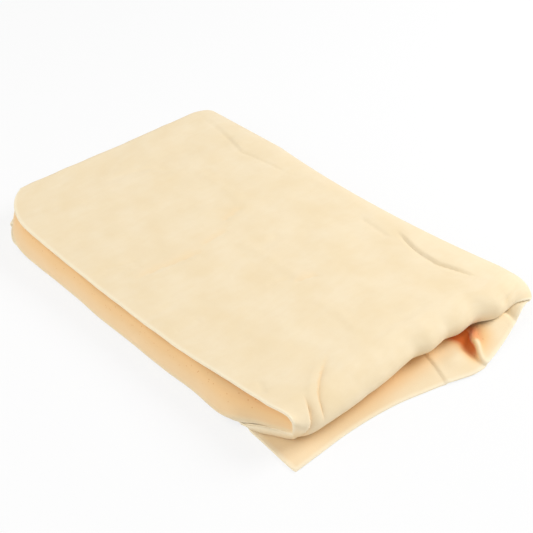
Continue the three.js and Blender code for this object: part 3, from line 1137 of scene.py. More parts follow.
@dataclass
class CoverLayer(ClothPart):
    """Top layer: crosswise fold, open panel, upper half of the lengthwise fold, front roll and tuck.

    Attributes:
        step: Grid spacing.
        fold_rows: Rows round the crosswise fold.
        turn_rows: Rows over the front roll and the tuck.
        spine_columns: Columns over the lengthwise fold's upper half.
        tuck_left: Length of the tuck at the open side.
        tuck_right: Length of the tuck at its right end.
        open_turn: Angle at which the roll ends where there is no tuck.
        nose_turn: Angle at which it ends on the lengthwise fold.
        creases: Creases, in X along the unrolled cloth and Y, some with painted shade beside them.
        column_spots: Distances across at which the grid is finer.
        row_spots: Distances along the panel at which the grid is finer.
        edge_path: The cut edge over the roll: share of its length, and X, Y and Z.
        edge_reach: Distance over which the roll is drawn to that path.
        lip_path: The lowest line of the curl along the tuck's cut edge, likewise.
        lip_width: Width of that curl.
        lip_reach: Distance over which the tuck goes over into it.
        curl_start: Shares of the roll's length over which the curl starts.
        edge_guess: Distance of the cut edge from the open side while the roll's start is looked for.
        hills: Slow unevenness of the layer.
        smooth_spine: Distance into the lengthwise fold at which the wrinkles start to fade.
        turn_fade: Angles over that fold between which they fade.
        under_fade: Angles over the roll between which they fade.
        free_end: Y over which the tuck comes to its right end.
        tuck_narrow: Y at which the tuck has its right end's length.
        fold_depth: Depth of the crosswise fold, gained from the open side on.
        fold_swell: Depth added to the right, over Y.
        bend_start: Point at which the roll starts to bend when the tuck is turned out, in metres.
        bend_end: Point at which it is turned fully, in metres.
    """

    step: float = 1.75
    fold_rows: int = 13
    turn_rows: int = 110
    spine_columns: int = 26
    tuck_left: float = 29.0
    tuck_right: float = 12.0
    open_turn: float = 2.05
    nose_turn: float = 1.27
    creases: tuple[Crease, ...] = (
        Crease(
            ((-172, 88), (-156, 87), (-136, 85.3), (-116, 81.4), (-105, 77.8), (-94.2, 74.2), (-81, 76.5),
             (-64.7, 78), (-50, 79.3), (-36, 81.6)), 0.4, 2.2, 1.0, 9.0,
        ),
        Crease(
            ((54, 84), (61.6, 80.5), (71.3, 77.3), (79.7, 74.7), (89.3, 73.5), (99.6, 73.2), (108.3, 76.1),
             (122, 79.6), (130, 83)), 0.7, 1.3, 1.8, 9.0,
        ),
        Crease(((27, 76), (33.8, 75.5), (44.2, 74.2), (53.2, 73.4), (60, 72.5)), 0.45, 2.6, 0.6, 8.0),
        Crease(
            ((108, -42), (114, -53.1), (120.3, -63.1), (126.2, -71), (130, -74.2), (134.4, -76),
             (139, -77.5), (146, -78)), 0.2, 0.9, -2.6, 1.6, 0.3,
        ),
        Crease(
            ((106, -45), (112, -56), (118, -66), (123.5, -73.5), (128, -77.5), (134, -79.5), (139, -80.5),
             (146, -81)), -0.5, 2.4,
        ),
        Crease(
            ((122, -79.5), (130, -83.2), (136, -86), (142, -88), (147, -89.6), (154, -91), (162, -92)),
            0.1, 0.9, -3.6, 3.4, 0.25,
        ),
        Crease(
            ((-29, -84), (-28.3, -74), (-27, -61), (-24, -50.4), (-22.4, -43), (-21.7, -34.6), (-17, -24)),
            0.9, 2.2, 0.4, 5.0, 0.11,
        ),
        Crease(
            ((-25, -26), (-25.1, -20.8), (-26.3, -12.3), (-25.3, -4.9), (-26, 1)), 0.7, 2.0, 0.2, 5.0, 0.1,
        ),
        Crease(((-36, 3), (-36.4, 9), (-38.1, 19.2), (-39, 26)), 0.7, 2.0, 0.2, 5.0, 0.1),
        Crease(
            ((-120, 30), (-109.5, 31.4), (-94.4, 33.3), (-75.6, 31.6), (-50.9, 31.1), (-40, 31)), -0.5, 4.0,
        ),
        Crease(((-14, -4), (-5, -3.8), (12.4, -1.7), (27.3, -2.2), (44.1, -0.3), (54, 0)), -0.5, 3.5),
        Crease(((64, -11), (73, -11.7), (85.3, -9.1), (103, -14.6), (113, -16)), -0.5, 3.5),
        Crease(((36, -23), (37, -19), (41, -9.3), (43, -5)), 0.5, 1.8),
        Crease(((46.5, -9), (48, -5.2), (49, 0.3), (51.3, 5.5), (53, 10)), 0.8, 1.8, 0.3, 4.0, 0.11),
        Crease(((-48.5, -97), (-46.6, -91.4), (-39.3, -72), (-37, -66)), 0.5, 2.2),
        Crease(((-52, -90), (-50, -84.7), (-44.8, -70.3), (-42, -64)), 0.45, 2.0),
        Crease(
            ((-133, -26), (-131.7, -20.9), (-129.2, -6), (-124.4, 9.3), (-114.6, 15.9), (-109, 19)),
            0.45, 2.6,
        ),
        Crease(((119, -18), (119.1, -11.7), (118.4, 7.9), (121.2, 28.9), (122, 35)), 0.45, 3.0),
        Crease(((5.5, -1), (4.6, 2.9), (3.3, 17.6), (3, 23)), 0.4, 3.5),
        Crease(((137, -74), (135.5, -57), (134.5, -31), (135, -6.6), (136, 15), (137, 32)), 0.4, 4.0),
        Crease(((5.5, -96), (5.8, -91.6), (7.2, -82.1), (8, -76)), 0.4, 2.6),
        Crease(((29, -95), (29.3, -90.9), (30.3, -79.5), (31, -74)), 0.4, 2.6),
        Crease(((96, -88), (103, -91), (108, -95)), 0.5, 2.5, 0.3, 6.0),
        Crease(((152, 76), (150, 84), (148, 92), (145, 99), (140, 104)), 1.2, 2.0, 0.0, 6.0),
    )
    column_spots: tuple[Spot, ...] = (Spot(2.0, 5.0, 1.0), Spot(23.0, 11.0, 3.0), Spot(182.0, 7.0, 0.5))
    row_spots: tuple[Spot, ...] = (Spot(284.0, 16.0, 1.6),)
    edge_path: tuple[tuple[float, float, float, float], ...] = (
        (0.20, 129.4, -97.9, 29.6), (0.28, 133.2, -97.6, 26.0), (0.51, 130.0, -93.4, 12.0),
        (0.56, 128.6, -92.0, 9.0), (0.71, 118.0, -95.2, 6.6), (0.82, 110.5, -98.6, 6.0),
        (0.92, 104.0, -101.7, 4.6), (0.96, 100.0, -102.8, 3.0), (1.0, 95.0, -103.9, 2.4),
    )
    lip_path: tuple[tuple[float, float, float, float], ...] = (
        (0.56, 129.0, -90.0, 2.9), (0.71, 119.0, -95.2, 2.6), (0.82, 111.5, -99.7, 2.6),
        (0.92, 105.0, -102.2, 2.6), (0.96, 101.5, -102.8, 2.4), (1.0, 97.0, -103.2, 2.35),
    )
    edge_reach: float = 22.0
    lip_width: float = 4.5
    lip_reach: float = 20.0
    curl_start: Ramp = Ramp(0.42, 0.64)
    edge_guess: float = 4.0
    hills: tuple[Hills, ...] = (
        Hills(0.4, 27.0, 3, 0.5), Hills(0.22, 13.0, 5, 0.5, 1.6), Hills(0.09, 5.0, 8, 0.0, 0.35),
    )
    smooth_spine: float = 8.0
    turn_fade: Ramp = Ramp(0.0, 1.2)
    under_fade: Ramp = Ramp(1.9, 2.5)
    free_end: Ramp = Ramp(30.0, 64.0)
    tuck_narrow: float = 50.0
    fold_depth: Gain = Gain(3.6, Ramp(21.0, 38.0))
    fold_swell: Gain = Gain(1.3, Ramp(-60.0, 0.0))
    bend_start: Point = (0.135, 0.0, 0.01825)
    bend_end: Point = (0.135, -0.00066, 0.00503)

    def columns(self) -> tuple[Array, Array]:
        """Shares across the panel and angles over the lengthwise fold, one value per column.

        Returns:
            Shares from the cut edge to the fold's start, and angles with one beyond the seam.
        """
        width = self.plan.spine_start - self.plan.left
        share = edge_first(width, self.step, self.plan.thickness / 2, self.column_spots) / width
        angle = np.linspace(0.0, math.pi / 2, self.spine_columns + 1)[1:]
        angle = np.append(angle, 2 * angle[-1] - angle[-2])
        turn = np.concatenate([0 * share, angle])
        return np.concatenate([share, 1.0 + 0 * angle]), turn

    def panel_rows(self) -> Array:
        """Shares along the panel, from the crosswise fold to the front roll."""
        length = self.plan.roll_front - self.plan.roll_depth - self.plan.panel_back
        return dense(0.0, length, self.step, self.row_spots) / length

    def wrinkles(self, along: Array, across: Array) -> Array:
        """Height of the creases and slow hills.

        Args:
            along: Place along the unrolled cloth, X on the panel.
            across: Place across it, Y on the panel.

        Returns:
            Added height.
        """
        hills = sum(hill.at(along, across) for hill in self.hills)
        fade = 1.0 - smooth(across, self.plan.spine_start + self.smooth_spine, self.plan.spine)
        return (hills + sum(crease.height(along, across) for crease in self.creases)) * fade

    def grid(self) -> ClothGrid:
        """Works out the whole top layer.

        The panel is a height over X and Y. Over the lengthwise fold its section is a quarter ellipse.
        The crosswise fold is half an ellipse from the panel's end to the second layer's. The front
        roll turns down along half an ellipse, while the section shrinks, and goes on as the level
        tuck. Near the open side it is drawn to the path of its cut edge.

        Returns:
            The grid, with one column beyond the seam with the lower half.
        """
        plan = self.plan
        share, turn = self.columns()
        panel = self.panel_points(self.panel_rows()[:, None], share[None], turn[None])
        roll, roll_run = self.roll_points(panel[-1], share, turn)
        across = np.minimum(panel[..., 1], plan.over_spine(turn))
        panel[..., 2] += self.wrinkles(panel[..., 0], across) * self.turn_fade.down(turn)
        fold = self.fold_points(panel[0], turn)
        middle = np.concatenate([fold, panel[1:-1], roll])
        width, length = run_length(middle, 1), run_length(middle, 0)
        rim = np.minimum(width, length[-1] - length)
        half_way = length[:, [np.count_nonzero(turn == 0) // 2]] + 0 * width
        flat = np.stack([half_way, width, 0 * width], -1)
        along = np.concatenate([fold[..., 0], panel[1:-1, :, 0], roll_run])
        beside = np.concatenate([fold[..., 1], across[1:-1], across[-1] + 0 * roll_run])
        # Painted shade beside the creases that carry it
        painted_shade = sum(crease.tone(along, beside) for crease in self.creases if crease.line_shade)
        return ClothGrid(middle, rim, flat, painted_shade, plan.thickness)

    def panel_points(self, along: Array, share: Array, turn: Array) -> Array:
        """Points of the panel and of the lengthwise fold's upper quarter, without wrinkles.

        Args:
            along: Shares along the panel.
            share: Shares across it.
            turn: Angles over the lengthwise fold.

        Returns:
            Points.
        """
        plan = self.plan
        guess = mix(plan.left + self.edge_guess, plan.over_spine(turn), share)
        x = mix(plan.panel_back, plan.roll_start(guess), along)
        y = mix(plan.top_edge(x), plan.spine_start, share)
        top = plan.top_level(x, y)
        y = y + plan.spine_depth(x) * np.sin(turn)
        z = top - (top - plan.table) / 2 * (1.0 - np.cos(turn))
        return np.stack([x, y, z], -1)

    def fold_points(self, start: Array, turn: Array) -> Array:
        """Points round the crosswise fold, from the second layer up to the panel's first row.

        Args:
            start: The panel's first row.
            turn: Angles over the lengthwise fold.

        Returns:
            Points, the last row being the panel's first.
        """
        plan = self.plan
        x, y = start[:, 0], start[:, 1]
        middle, half = plan.inner_turn(x)
        inner_y = np.where(turn > 0, plan.inner_edge(half, turn), plan.narrowed(y))
        level = plan.inner_level(x, np.minimum(inner_y, plan.inner_right))
        inner_z = np.where(turn > 0, middle + half * np.cos(turn), level)
        inner = np.stack([x, inner_y, inner_z], -1)
        depth = self.fold_depth.at(y, plan.left) + self.fold_swell.at(y)
        return half_turn(start, inner, depth, self.fold_rows)

    def roll_points(self, start: Array, share: Array, turn: Array) -> tuple[Array, Array]:
        """Points over the front roll and the tuck.

        Args:
            start: The panel's last row, without wrinkles.
            share: Shares across the panel.
            turn: Angles over the lengthwise fold.

        Returns:
            Points, the first row being the panel's last, and their places along the unrolled cloth.
        """
        plan = self.plan
        x, y, z = start.T
        spine = np.clip(turn / (math.pi / 2), 0.0, 1.0)
        depth = mix(plan.roll_depth, plan.nose_depth, spine)
        half = (np.where(turn > 0, plan.cover, z) - plan.tuck) / 2
        side, up = plan.nose_half * np.sin(turn), half * np.cos(turn)
        radius = np.sqrt((depth**2 + side**2 + up**2) / 2)
        free = self.free_end.up(y)
        last = mix(math.pi, mix(self.open_turn, self.nose_turn, spine), free)
        tuck = mix(self.tuck_left, self.tuck_right, smooth(y, plan.left, self.tuck_narrow)) * (1.0 - free)
        row = np.linspace(0.0, 1.0, self.turn_rows)[:, None]
        turned = radius * last / (radius * last + tuck)
        angle = last * np.clip(row / turned, 0.0, 1.0)
        beyond = tuck * np.clip((row - turned) / np.maximum(1.0 - turned, LEAST_SHARE), 0.0, 1.0)
        across = np.where(turn > 0, plan.over_spine(turn), y)
        run = x + radius * angle + beyond
        raised = self.wrinkles(run, across + 0 * angle)
        raised *= self.under_fade.down(angle) * self.turn_fade.down(turn)
        lowered = 1.0 - np.cos(angle)
        points = np.stack([
            x + (depth + raised) * np.sin(angle) - beyond,
            y - side * lowered,
            z - up * lowered + raised * np.cos(angle),
        ], -1)
        away = share * (plan.spine_start - plan.left) * (turn == 0) + FAR * (turn > 0)
        return self.edged(points, away, row), run

    def edged(self, points: Array, away: Array, row: Array) -> Array:
        """Draws the roll's left part to the path of its cut edge.

        Args:
            points: Points of the roll.
            away: Distance of each column from the cut edge.
            row: Shares along the roll.

        Returns:
            Points. The pull fades with the square of the distance. On the tuck the edge curls up: the
            pull eases from the edge's to that of the curl's lowest line, and fades from there.
        """
        knots = np.array([(0.0, *points[0, 0]), *self.edge_path])
        path = knot_weights(row[:, 0], knots[:, 0]) @ knots[:, 1:]
        lowest = np.array(self.lip_path)
        lip = knot_weights(np.maximum(row[:, 0], lowest[0, 0]), lowest[:, 0]) @ lowest[:, 1:]
        outer = (path - points[:, 0])[:, None]
        inner = (lip - points[:, np.argmin(np.abs(away - self.lip_width))])[:, None]
        plain = outer * np.clip(1.0 - away / self.edge_reach, 0.0, 1.0)[None, :, None] ** 2
        fade = np.clip(1.0 - (away - self.lip_width) / self.lip_reach, 0.0, 1.0)[None, :, None] ** 2
        curl = mix(outer, inner * fade, smooth(away, 0.0, self.lip_width)[None, :, None])
        return points + mix(plain, curl, self.curl_start.up(row)[..., None])

    def build(self) -> None:
        """Makes the cover, which goes with the upper half, and the front roll with the tuck."""
        grid = self.grid()
        seam = self.fold_rows - 1 + len(self.panel_rows()) - 1
        columns = slice(0, grid.middle.shape[1] - 1)
        cover = self.keep(grid, "cover", slice(0, seam + 1), columns, ["inner_upper"])
        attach(cover, Body.UPPER.value)
        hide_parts("top_panel", "upper_end_fold")
        roll = self.keep(grid, "front_roll", slice(seam, None), columns, ["inner_upper", "base"])
        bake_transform(roll)
        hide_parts("front_fold", "tucked_flap")


@dataclass(frozen=True)
class WallKnot:
    """A point of the hanging edge's section.

    Attributes:
        place: Distance up the section.
        inset: Distance in from the edge's line.
        rise: Height above the foot, as a share of the section's height.
        curl: Distance added where the foot curls under the cloth.
        swell: Share of the lower part's swell that it takes.
        lean: Share of the back corner's lean that it takes.
        low: Height above the foot where the foot curls under, or None where that changes nothing.
    """

    place: float
    inset: float
    rise: float
    curl: float = 0.0
    swell: float = 0.0
    lean: float = 0.0
    low: float | None = None


@dataclass
class InnerUpperLayer(ClothPart):
    """Second layer with its hanging left edge.

    Attributes:
        wall_columns: Columns up the hanging edge.
        step: Grid spacing along the cloth.
        inner_step: Grid spacing across the hidden part.
        front: X of its hidden front end.
        wall_front: X of the hanging edge's front end.
        wall_back: X of the hanging edge's back end at its foot.
        wall_slant: Distance by which the back end is further forward at the top.
        wall_tuck: Length of the hanging edge that runs on inside the back fold.
        foot_shape: Height of the hanging edge's foot, by X.
        foot_bulge: Distance by which the lower part of the hanging edge swells outward, by X.
        knots: Points of the hanging edge's section.
        turn_in: Shares of the hidden part over which the hanging edge goes over into it.
        front_in: Shares of the hidden part over which its front end goes back.
        hills: Slow unevenness of the hanging edge.
        lean_gap: Distance that its upper part keeps from the top layer's cut edge at the back corner.
        leans: X over which the upper part leans in.
        uncurled: X over which the foot stops curling under at the front.
        over_back: X over which it does so at the back.
        back_foot: Height of the foot at the back corner.
        back_foots: X over which the foot rises to it.
        fold_foot: Height of the foot above the third layer, inside the back fold.
        fold_foots: X over which the foot rises to that.
        shoulder: Distance in from the edge's line at which the shoulder's height is read.
        rising_shade: Painted warm shade that the hanging edge gains on its way up.
        front_shade: Painted warm shade that it gains to the front, over X.
        pale_back: X over which the painted shade starts at the back.
        sheet_place: Third value of the flat places, for this layer.
        bend_start: Point at which it starts to bend when the hanging edge is lifted, in metres.
        bend_end: Point at which it is turned fully, in metres.
    """

    wall_columns: int = 30
    step: float = 1.8
    inner_step: float = 4.0
    front: float = 118.0
    wall_front: float = 131.0
    wall_back: float = -164.0
    wall_slant: float = 1.2
    wall_tuck: float = 34.0
    foot_shape: tuple[Pair, ...] = (
        (80, 1.3), (88, 2.5), (94, 3.5), (98, 3.9), (103, 4.2), (110, 4.4), (117.5, 4.9), (123, 6.0),
        (128.6, 7.6), (134, 8.6),
    )
    foot_bulge: tuple[Pair, ...] = (
        (-146, 0.0), (-120, 1.2), (-60, 1.8), (-10, 2.9), (28, 3.1), (60, 2.0), (84, 2.8), (95, 2.9),
        (105, 0.6), (118, 0.35), (131, 0.0),
    )
    knots: tuple[WallKnot, ...] = (
        WallKnot(0.0, 0.9, 0.0, curl=2.4, swell=1.0),
        WallKnot(3.0, 0.1, 0.15, curl=0.8, swell=1.0, low=0.5),
        WallKnot(6.5, -0.2, 0.3, swell=1.0, lean=0.1, low=3.4),
        WallKnot(12.0, -0.5, 0.52, swell=0.5, lean=0.45),
        WallKnot(17.5, 0.1, 0.78, lean=0.8),
        WallKnot(21.5, 1.3, 0.92, lean=1.0),
        WallKnot(25.0, 4.2, 0.99, lean=1.0),
        WallKnot(31.0, 10.0, 1.0, lean=1.0),
    )
    turn_in: Ramp = Ramp(0.0, 0.12)
    front_in: Ramp = Ramp(0.0, 0.2)
    hills: Hills = Hills(0.6, 22.0, 23, squeeze=2.0)
    lean_gap: float = 1.2
    leans: Ramp = Ramp(-118.0, -140.0)
    uncurled: Ramp = Ramp(82.0, 98.0)
    over_back: Ramp = Ramp(-122.0, -146.0)
    back_foot: float = 2.5
    back_foots: Ramp = Ramp(-116.0, -134.0)
    fold_foot: float = 1.7
    fold_foots: Ramp = Ramp(-152.0, -161.0)
    shoulder: float = 2.0
    rising_shade: tuple[Gain, ...] = (Gain(0.3, Ramp(3.0, 10.0)), Gain(0.2, Ramp(9.0, 20.0)))
    front_shade: Gain = Gain(0.05, Ramp(60.0, 120.0))
    pale_back: Ramp = Ramp(-157.0, -144.0)
    sheet_place: float = 40.0
    bend_start: Point = (0.0, -0.100, 0.013)
    bend_end: Point = (0.0, -0.106, 0.007)

    def grid(self) -> ClothGrid:
        """Works out the second layer.

        From the foot, which curls under, the section goes up the hanging edge, bulging a little, over
        a tight shoulder just under the top layer, and then level to the right. At the back corner the
        upper part leans in to stay under the top layer.

        Returns:
            The grid.
        """
        plan = self.plan
        knots = np.array([knot.place for knot in self.knots])
        tall = knots[-1]
        places = edge_first(tall, tall / self.wall_columns, plan.thickness / 2)
        hidden = spread(0.0, 1.0, self.inner_step / (plan.inner_right - plan.left))[1:]
        inside = np.concatenate([0 * places, hidden])
        weights = knot_weights(np.concatenate([places, tall + 0 * hidden]), knots)
        up = np.concatenate([places / tall, 1.0 + 0 * hidden])
        level = self.turn_in.up(inside)
        back = mix(self.wall_back + self.wall_slant * up, plan.panel_back, level)
        front = mix(self.wall_front, self.front, self.front_in.up(inside))
        rows = spread(0.0, 1.0, self.step / (self.wall_front - self.wall_back))
        tucked = self.wall_tuck * (1.0 - level)
        run = mix(back - tucked, front, rows[:, None])
        x = np.maximum(run, back)
        y, z = self.section(x, x - run, weights)
        y = mix(y, plan.inner_right, inside)
        y = y + self.hills.at(x, z) * (inside == 0)
        z = mix(z, plan.inner_level(x, y), level)
        middle = np.stack([x, y, z], -1)
        across = np.concatenate([places, tall + hidden * (plan.inner_right - plan.left)]) + 0 * x
        rim = np.minimum(across, np.maximum(front - x, 0.0))
        flat = np.stack([x, across, self.sheet_place + 0 * x], -1)
        # Painted warm shade on the hanging edge, growing up towards the top layer's overhang and to the
        # front
        painted_shade = sum(glow.at(across) for glow in self.rising_shade) + self.front_shade.at(x)
        painted_shade = painted_shade * (1.0 - smooth(across, tall, 2.0 * tall)) * self.pale_back.up(x)
        return ClothGrid(middle, rim, flat, painted_shade, plan.thickness)

    def section(self, x: Array, beyond: Array, weights: Array) -> tuple[Array, Array]:
        """Section of the hanging edge: a smooth curve through a few knots from the foot to the shoulder.

        Args:
            x: X of the points.
            beyond: Distance by which they lie further inside the back fold.
            weights: Weights of the knots, one row per column of the grid.

        Returns:
            Y and Z.
        """
        plan = self.plan
        line = plan.wall_line(x) + beyond
        lean = np.maximum(plan.top_edge(x) + self.lean_gap - line, 0.0) * self.leans.up(x)
        on_base = mix(through(x, self.foot_shape), self.back_foot, self.back_foots.up(x))
        foot = mix(on_base, plan.lower_level(x, line) + self.fold_foot, self.fold_foots.up(x))
        under = self.uncurled.down(x) - self.over_back.up(x)
        swell = through(x, self.foot_bulge)
        tall = plan.inner_level(x, line + lean + self.shoulder) - foot
        y, z = line, foot
        for weight, knot in zip(weights.T, self.knots):
            rise = knot.rise * tall
            if knot.low is not None:
                rise = mix(rise, knot.low, under)
            y = y + weight * (knot.inset + knot.curl * under - knot.swell * swell + knot.lean * lean)
            z = z + weight * rise
        return y, z

    def build(self) -> None:
        """Makes the layer, from its hidden part under the top layer to the hanging edge."""
        grid = self.grid()
        obj = self.keep(grid, "inner_upper", slice(None), slice(None), ["inner_lower"])
        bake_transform(obj)
        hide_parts("inner_upper_panel", "hanging_edge")


@dataclass
class BaseLayer(ClothPart):
    """Lowest layer: base, flap, gathered corner, lower half of the lengthwise fold and back fold.

    Attributes:
        flat_step: Grid spacing under the cloth.
        fine_step: Grid spacing on the flap.
        fold_rows: Rows round the back fold.
        gather_columns: Columns over the gathered corner and the lengthwise fold.
        gather_start: Y at which the gathered part starts under the cloth.
        fine_start: X from which the rows are fine.
        flat_share: Share of the gathered columns that lie level under the cloth.
        knots: Places across the gathered corner at which its section is set.
        hidden: Y and Z of these knots under the front roll.
        folded: Y and Z of these knots just in front of it.
        spread_out: Y and Z of these knots at the front cut edge.
        tip: Y and Z of the last knots from the seam with the cover, at the roll and at the cut edge.
        creases: Creases of the flap.
        valley_clear: Height above the table at which a crease may have its full depth.
        edge_hills: Slow unevenness of the left cut edge.
        gather_early: X over which the corner is gathered under the cloth.
        gather_late: X over which the nose is gathered.
        nose_part: Places across over which one becomes the other.
        comes_out: X over which the gathered corner comes out from under the roll.
        opens: X over which it opens towards the front cut edge.
        fold_inset: Distance by which the third layer lies further in at the back fold's open side.
        fold_inset_end: Distances from the open side over which that ends.
        fold_full: Distances from the open side over which the back fold gains its depth.
        pocket_floor: Places across of the pocket's floor.
        pocket_run: X of the pocket.
        pocket_shade: Painted deep shade on the pocket's floor.
        glow_place: X and Y of the pocket's mouth.
        glow_reach: Distances from the mouth over which the painted warm shade on the ridge ends.
        glow_start: Places across over which it starts.
        glow_shade: Strength of that painted warm shade.
        crest: Places across of the ridge's lit crest, left without that painted shade.
        crest_start: X over which the crest starts.
        shade_run: X of the roll's shade.
        shade_end: Places across over which the shade ends.
        shade_across: Y over which it grows.
        shade_warmth: Strength of the roll's painted shade, before and after that.
        slit: Places across of the crease under the nose.
        slit_run: X of that crease.
        slit_shade: Painted shade in it.
        sheet_place: Third value of the flat places, for this layer.
        bend_start: Point at which it starts to bend when the spine is opened, in metres.
        bend_end: Point at which it is turned fully, in metres.
    """

    flat_step: float = 3.0
    fine_step: float = 1.2
    fold_rows: int = 11
    gather_columns: int = 112
    gather_start: float = 10.0
    fine_start: float = 100.0
    flat_share: float = 0.70
    knots: tuple[float, ...] = (
        0.0, 0.088, 0.187, 0.248, 0.286, 0.339, 0.369, 0.396, 0.415, 0.438, 0.473, 0.54, 0.672, 0.70, 0.736,
        0.782, 0.835, 0.885, 0.938, 0.968, 1.0,
    )
    hidden: tuple[Pair, ...] = (
        (10.4, 0.75), (20, 0.75), (31, 1.3), (40, 1.2), (45, 0.9), (50.5, 1.0), (53.5, 1.8), (55.5, 2.6),
        (57.5, 3.3), (60, 3.9), (62.5, 4.5), (67, 5.4), (77, 7.4), (80.5, 7.9), (84, 7.0), (87.5, 9.0),
        (92, 10.4), (98, 9.8),
    )
    folded: tuple[Pair, ...] = (
        (8, 0.75), (18, 0.75), (29, 2.6), (36, 2.4), (40, 0.9), (46, 0.9), (48.4, 3.0), (47.5, 6.0),
        (47.9, 8.0), (50.4, 7.0), (54.5, 4.8), (62, 5.4), (77, 7.4), (80.5, 7.9), (84, 7.0), (87.5, 9.4),
        (92, 11.4), (98, 11.8),
    )
    spread_out: tuple[Pair, ...] = (
        (4, 0.75), (14.5, 0.75), (25, 1.2), (32, 1.5), (36.4, 1.0), (38.6, 1.0), (39.6, 1.5), (40.2, 2.3),
        (41, 3.0), (42.6, 2.5), (46, 1.9), (55, 2.0), (74, 3.4), (78, 4.4), (82, 5.4), (86, 8.4),
        (92, 10.8), (96, 11.8),
    )
    tip: tuple[tuple[Pair, Pair], ...] = (
        ((-1.6, -1.5), (-1.5, -1.1)), ((-0.4, -0.8), (-0.5, -0.5)), ((0.0, 0.0), (0.0, 0.0)),
    )
    creases: tuple[Crease, ...] = (
        Crease(
            ((116, 26.5), (127, 22.4), (134, 19.8), (140.6, 17.5), (147.2, 15), (154.7, 11.5), (163, 7.5),
             (176, 1)), 0.6, 1.2, 1.4, 12.0,
        ),
    )
    valley_clear: float = 1.0
    edge_hills: Hills = Hills(0.5, 35.0, 31)
    gather_early: Ramp = Ramp(118.0, 141.0)
    gather_late: Ramp = Ramp(135.0, 150.0)
    nose_part: Ramp = Ramp(0.70, 0.92)
    comes_out: Ramp = Ramp(142.0, 152.0)
    opens: Ramp = Ramp(150.0, 166.0)
    fold_inset: float = 0.7
    fold_inset_end: Ramp = Ramp(13.5, 27.5)
    fold_full: Ramp = Ramp(9.0, 22.0)
    pocket_floor: Band = Band(Ramp(0.22, 0.32), Ramp(0.38, 0.44))
    pocket_run: Band = Band(Ramp(110.0, 130.0), Ramp(153.0, 168.0))
    pocket_shade: float = 0.95
    glow_place: Pair = (143.0, 48.0)
    glow_reach: Ramp = Ramp(6.0, 25.0)
    glow_start: Ramp = Ramp(0.37, 0.42)
    glow_shade: float = 0.82
    crest: Band = Band(Ramp(0.39, 0.41), Ramp(0.43, 0.46))
    crest_start: Ramp = Ramp(151.0, 154.5)
    shade_run: Band = Band(Ramp(95.0, 125.0), Ramp(133.0, 152.0))
    shade_end: Ramp = Ramp(0.6, 0.8)
    shade_across: Ramp = Ramp(-90.0, 0.0)
    shade_warmth: Pair = (0.15, 0.42)
    slit: Band = Band(Ramp(0.72, 0.76), Ramp(0.80, 0.86))
    slit_run: Band = Band(Ramp(135.0, 142.0), Ramp(146.0, 153.0))
    slit_shade: float = 0.5
    sheet_place: float = 80.0
    bend_start: Point = (0.0, 0.103, 0.0055)
    bend_end: Point = (0.0, 0.105, 0.0122)

    def turn(self, place: Array) -> Array:
        """Angle over the lengthwise fold's lower quarter: 0 on the level part, then up to a right angle."""
        return np.clip((place - self.flat_share) / (1.0 - self.flat_share), 0.0, None) * math.pi / 2

    def gather_points(self, x: Array, place: Array) -> tuple[Array, Array]:
        """Section of the gathered corner and of the lengthwise fold's lower quarter.

        Along the cloth the section is level and turns up as a quarter ellipse. At the corner it
        follows knots that make a low swell, a pocket, a ridge that leans over the pocket, a slope up
        to a crease and a small pleat, and the nose. The pocket closes towards the front cut edge.

        Args:
            x: X of the points.
            place: Places across, from 0 at the start to 1 at the fold's outermost line.

        Returns:
            Y and Z.
        """
        plan = self.plan
        seam_y, seam_z = plan.seam(x + 0 * place)
        level = np.clip(place / self.flat_share, 0.0, 1.0)
        turn = self.turn(place)
        plain_y = mix(self.gather_start, plan.spine_start, level)
        plain_y = plain_y + (seam_y - plan.spine_start) * np.sin(turn)
        plain_z = plan.table + (seam_z - plan.table) * (1.0 - np.cos(turn))
        weights = knot_weights(place[0], np.array(self.knots))
        wide, out = self.opens.up(x), self.comes_out.up(x)
        y, z = 0.0, 0.0
        for k, (under, deep, loose) in enumerate(zip(self.hidden, self.folded, self.spread_out)):
            y = y + weights[:, k] * mix(mix(under[0], deep[0], out), loose[0], wide)
            z = z + weights[:, k] * mix(mix(under[1], deep[1], out), loose[1], wide)
        for k, (deep, loose) in enumerate(self.tip, len(self.folded)):
            y = y + weights[:, k] * (seam_y + mix(deep[0], loose[0], wide))
            z = z + weights[:, k] * (seam_z + mix(deep[1], loose[1], wide))
        gathered = mix(self.gather_early.up(x), self.gather_late.up(x), self.nose_part.up(place))
        return mix(plain_y, y, gathered), mix(plain_z, z, gathered)

    def grid(self) -> ClothGrid:
        """Works out the lowest layer.

        It is level from the left cut edge to the gathered part, which draws it along with the cube of
        the way across. Rows run from the back fold, half an ellipse up to the third layer, to the front
        cut edge.

        Returns:
            The grid, with one column beyond the seam with the cover.
        """
        plan = self.plan
        radius = plan.thickness / 2
        width = self.gather_start - plan.left
        level = edge_first(width, self.flat_step, radius)
        share = level / width
        place = spread(0.0, 1.0, 1.0 / self.gather_columns)[1:]
        place = np.append(place, 2 * place[-1] - place[-2])
        slid = self.spread_out[0][0] - self.gather_start
        along_edge = np.concatenate([plan.left + level + slid * share**3, self.front_places(place)])
        front = plan.flap_line(along_edge)
        split = (self.fine_start - plan.panel_back) / (front - plan.panel_back)
        coarse = spread(0.0, 1.0, self.flat_step / (self.fine_start - plan.panel_back))[:-1]
        long = plan.front - self.fine_start
        ahead = 1.0 - edge_first(long, self.fine_step, radius)[::-1] / long
        rows = np.concatenate([coarse[:, None] * split, split + ahead[:, None] * (1.0 - split)])
        x = mix(plan.panel_back, front[None], rows)
        flat_x, gather_x = np.split(x, [len(level)], axis=1)
        line = plan.base_line(flat_x) + self.edge_hills.at(flat_x, 0 * flat_x)
        start = self.gather_points(gather_x[:, :1], np.array([[0.0]]))[0]
        y = mix(line, self.gather_start, share) + (start - self.gather_start) * share**3
        gather_y, gather_z = self.gather_points(gather_x, place[None])
        y, z = np.concatenate([y, gather_y], 1), np.concatenate([plan.table + 0 * y, gather_z], 1)
        raised = sum(crease.height(x, y) for crease in self.creases)
        room = smooth(z, plan.table, plan.table + self.valley_clear)
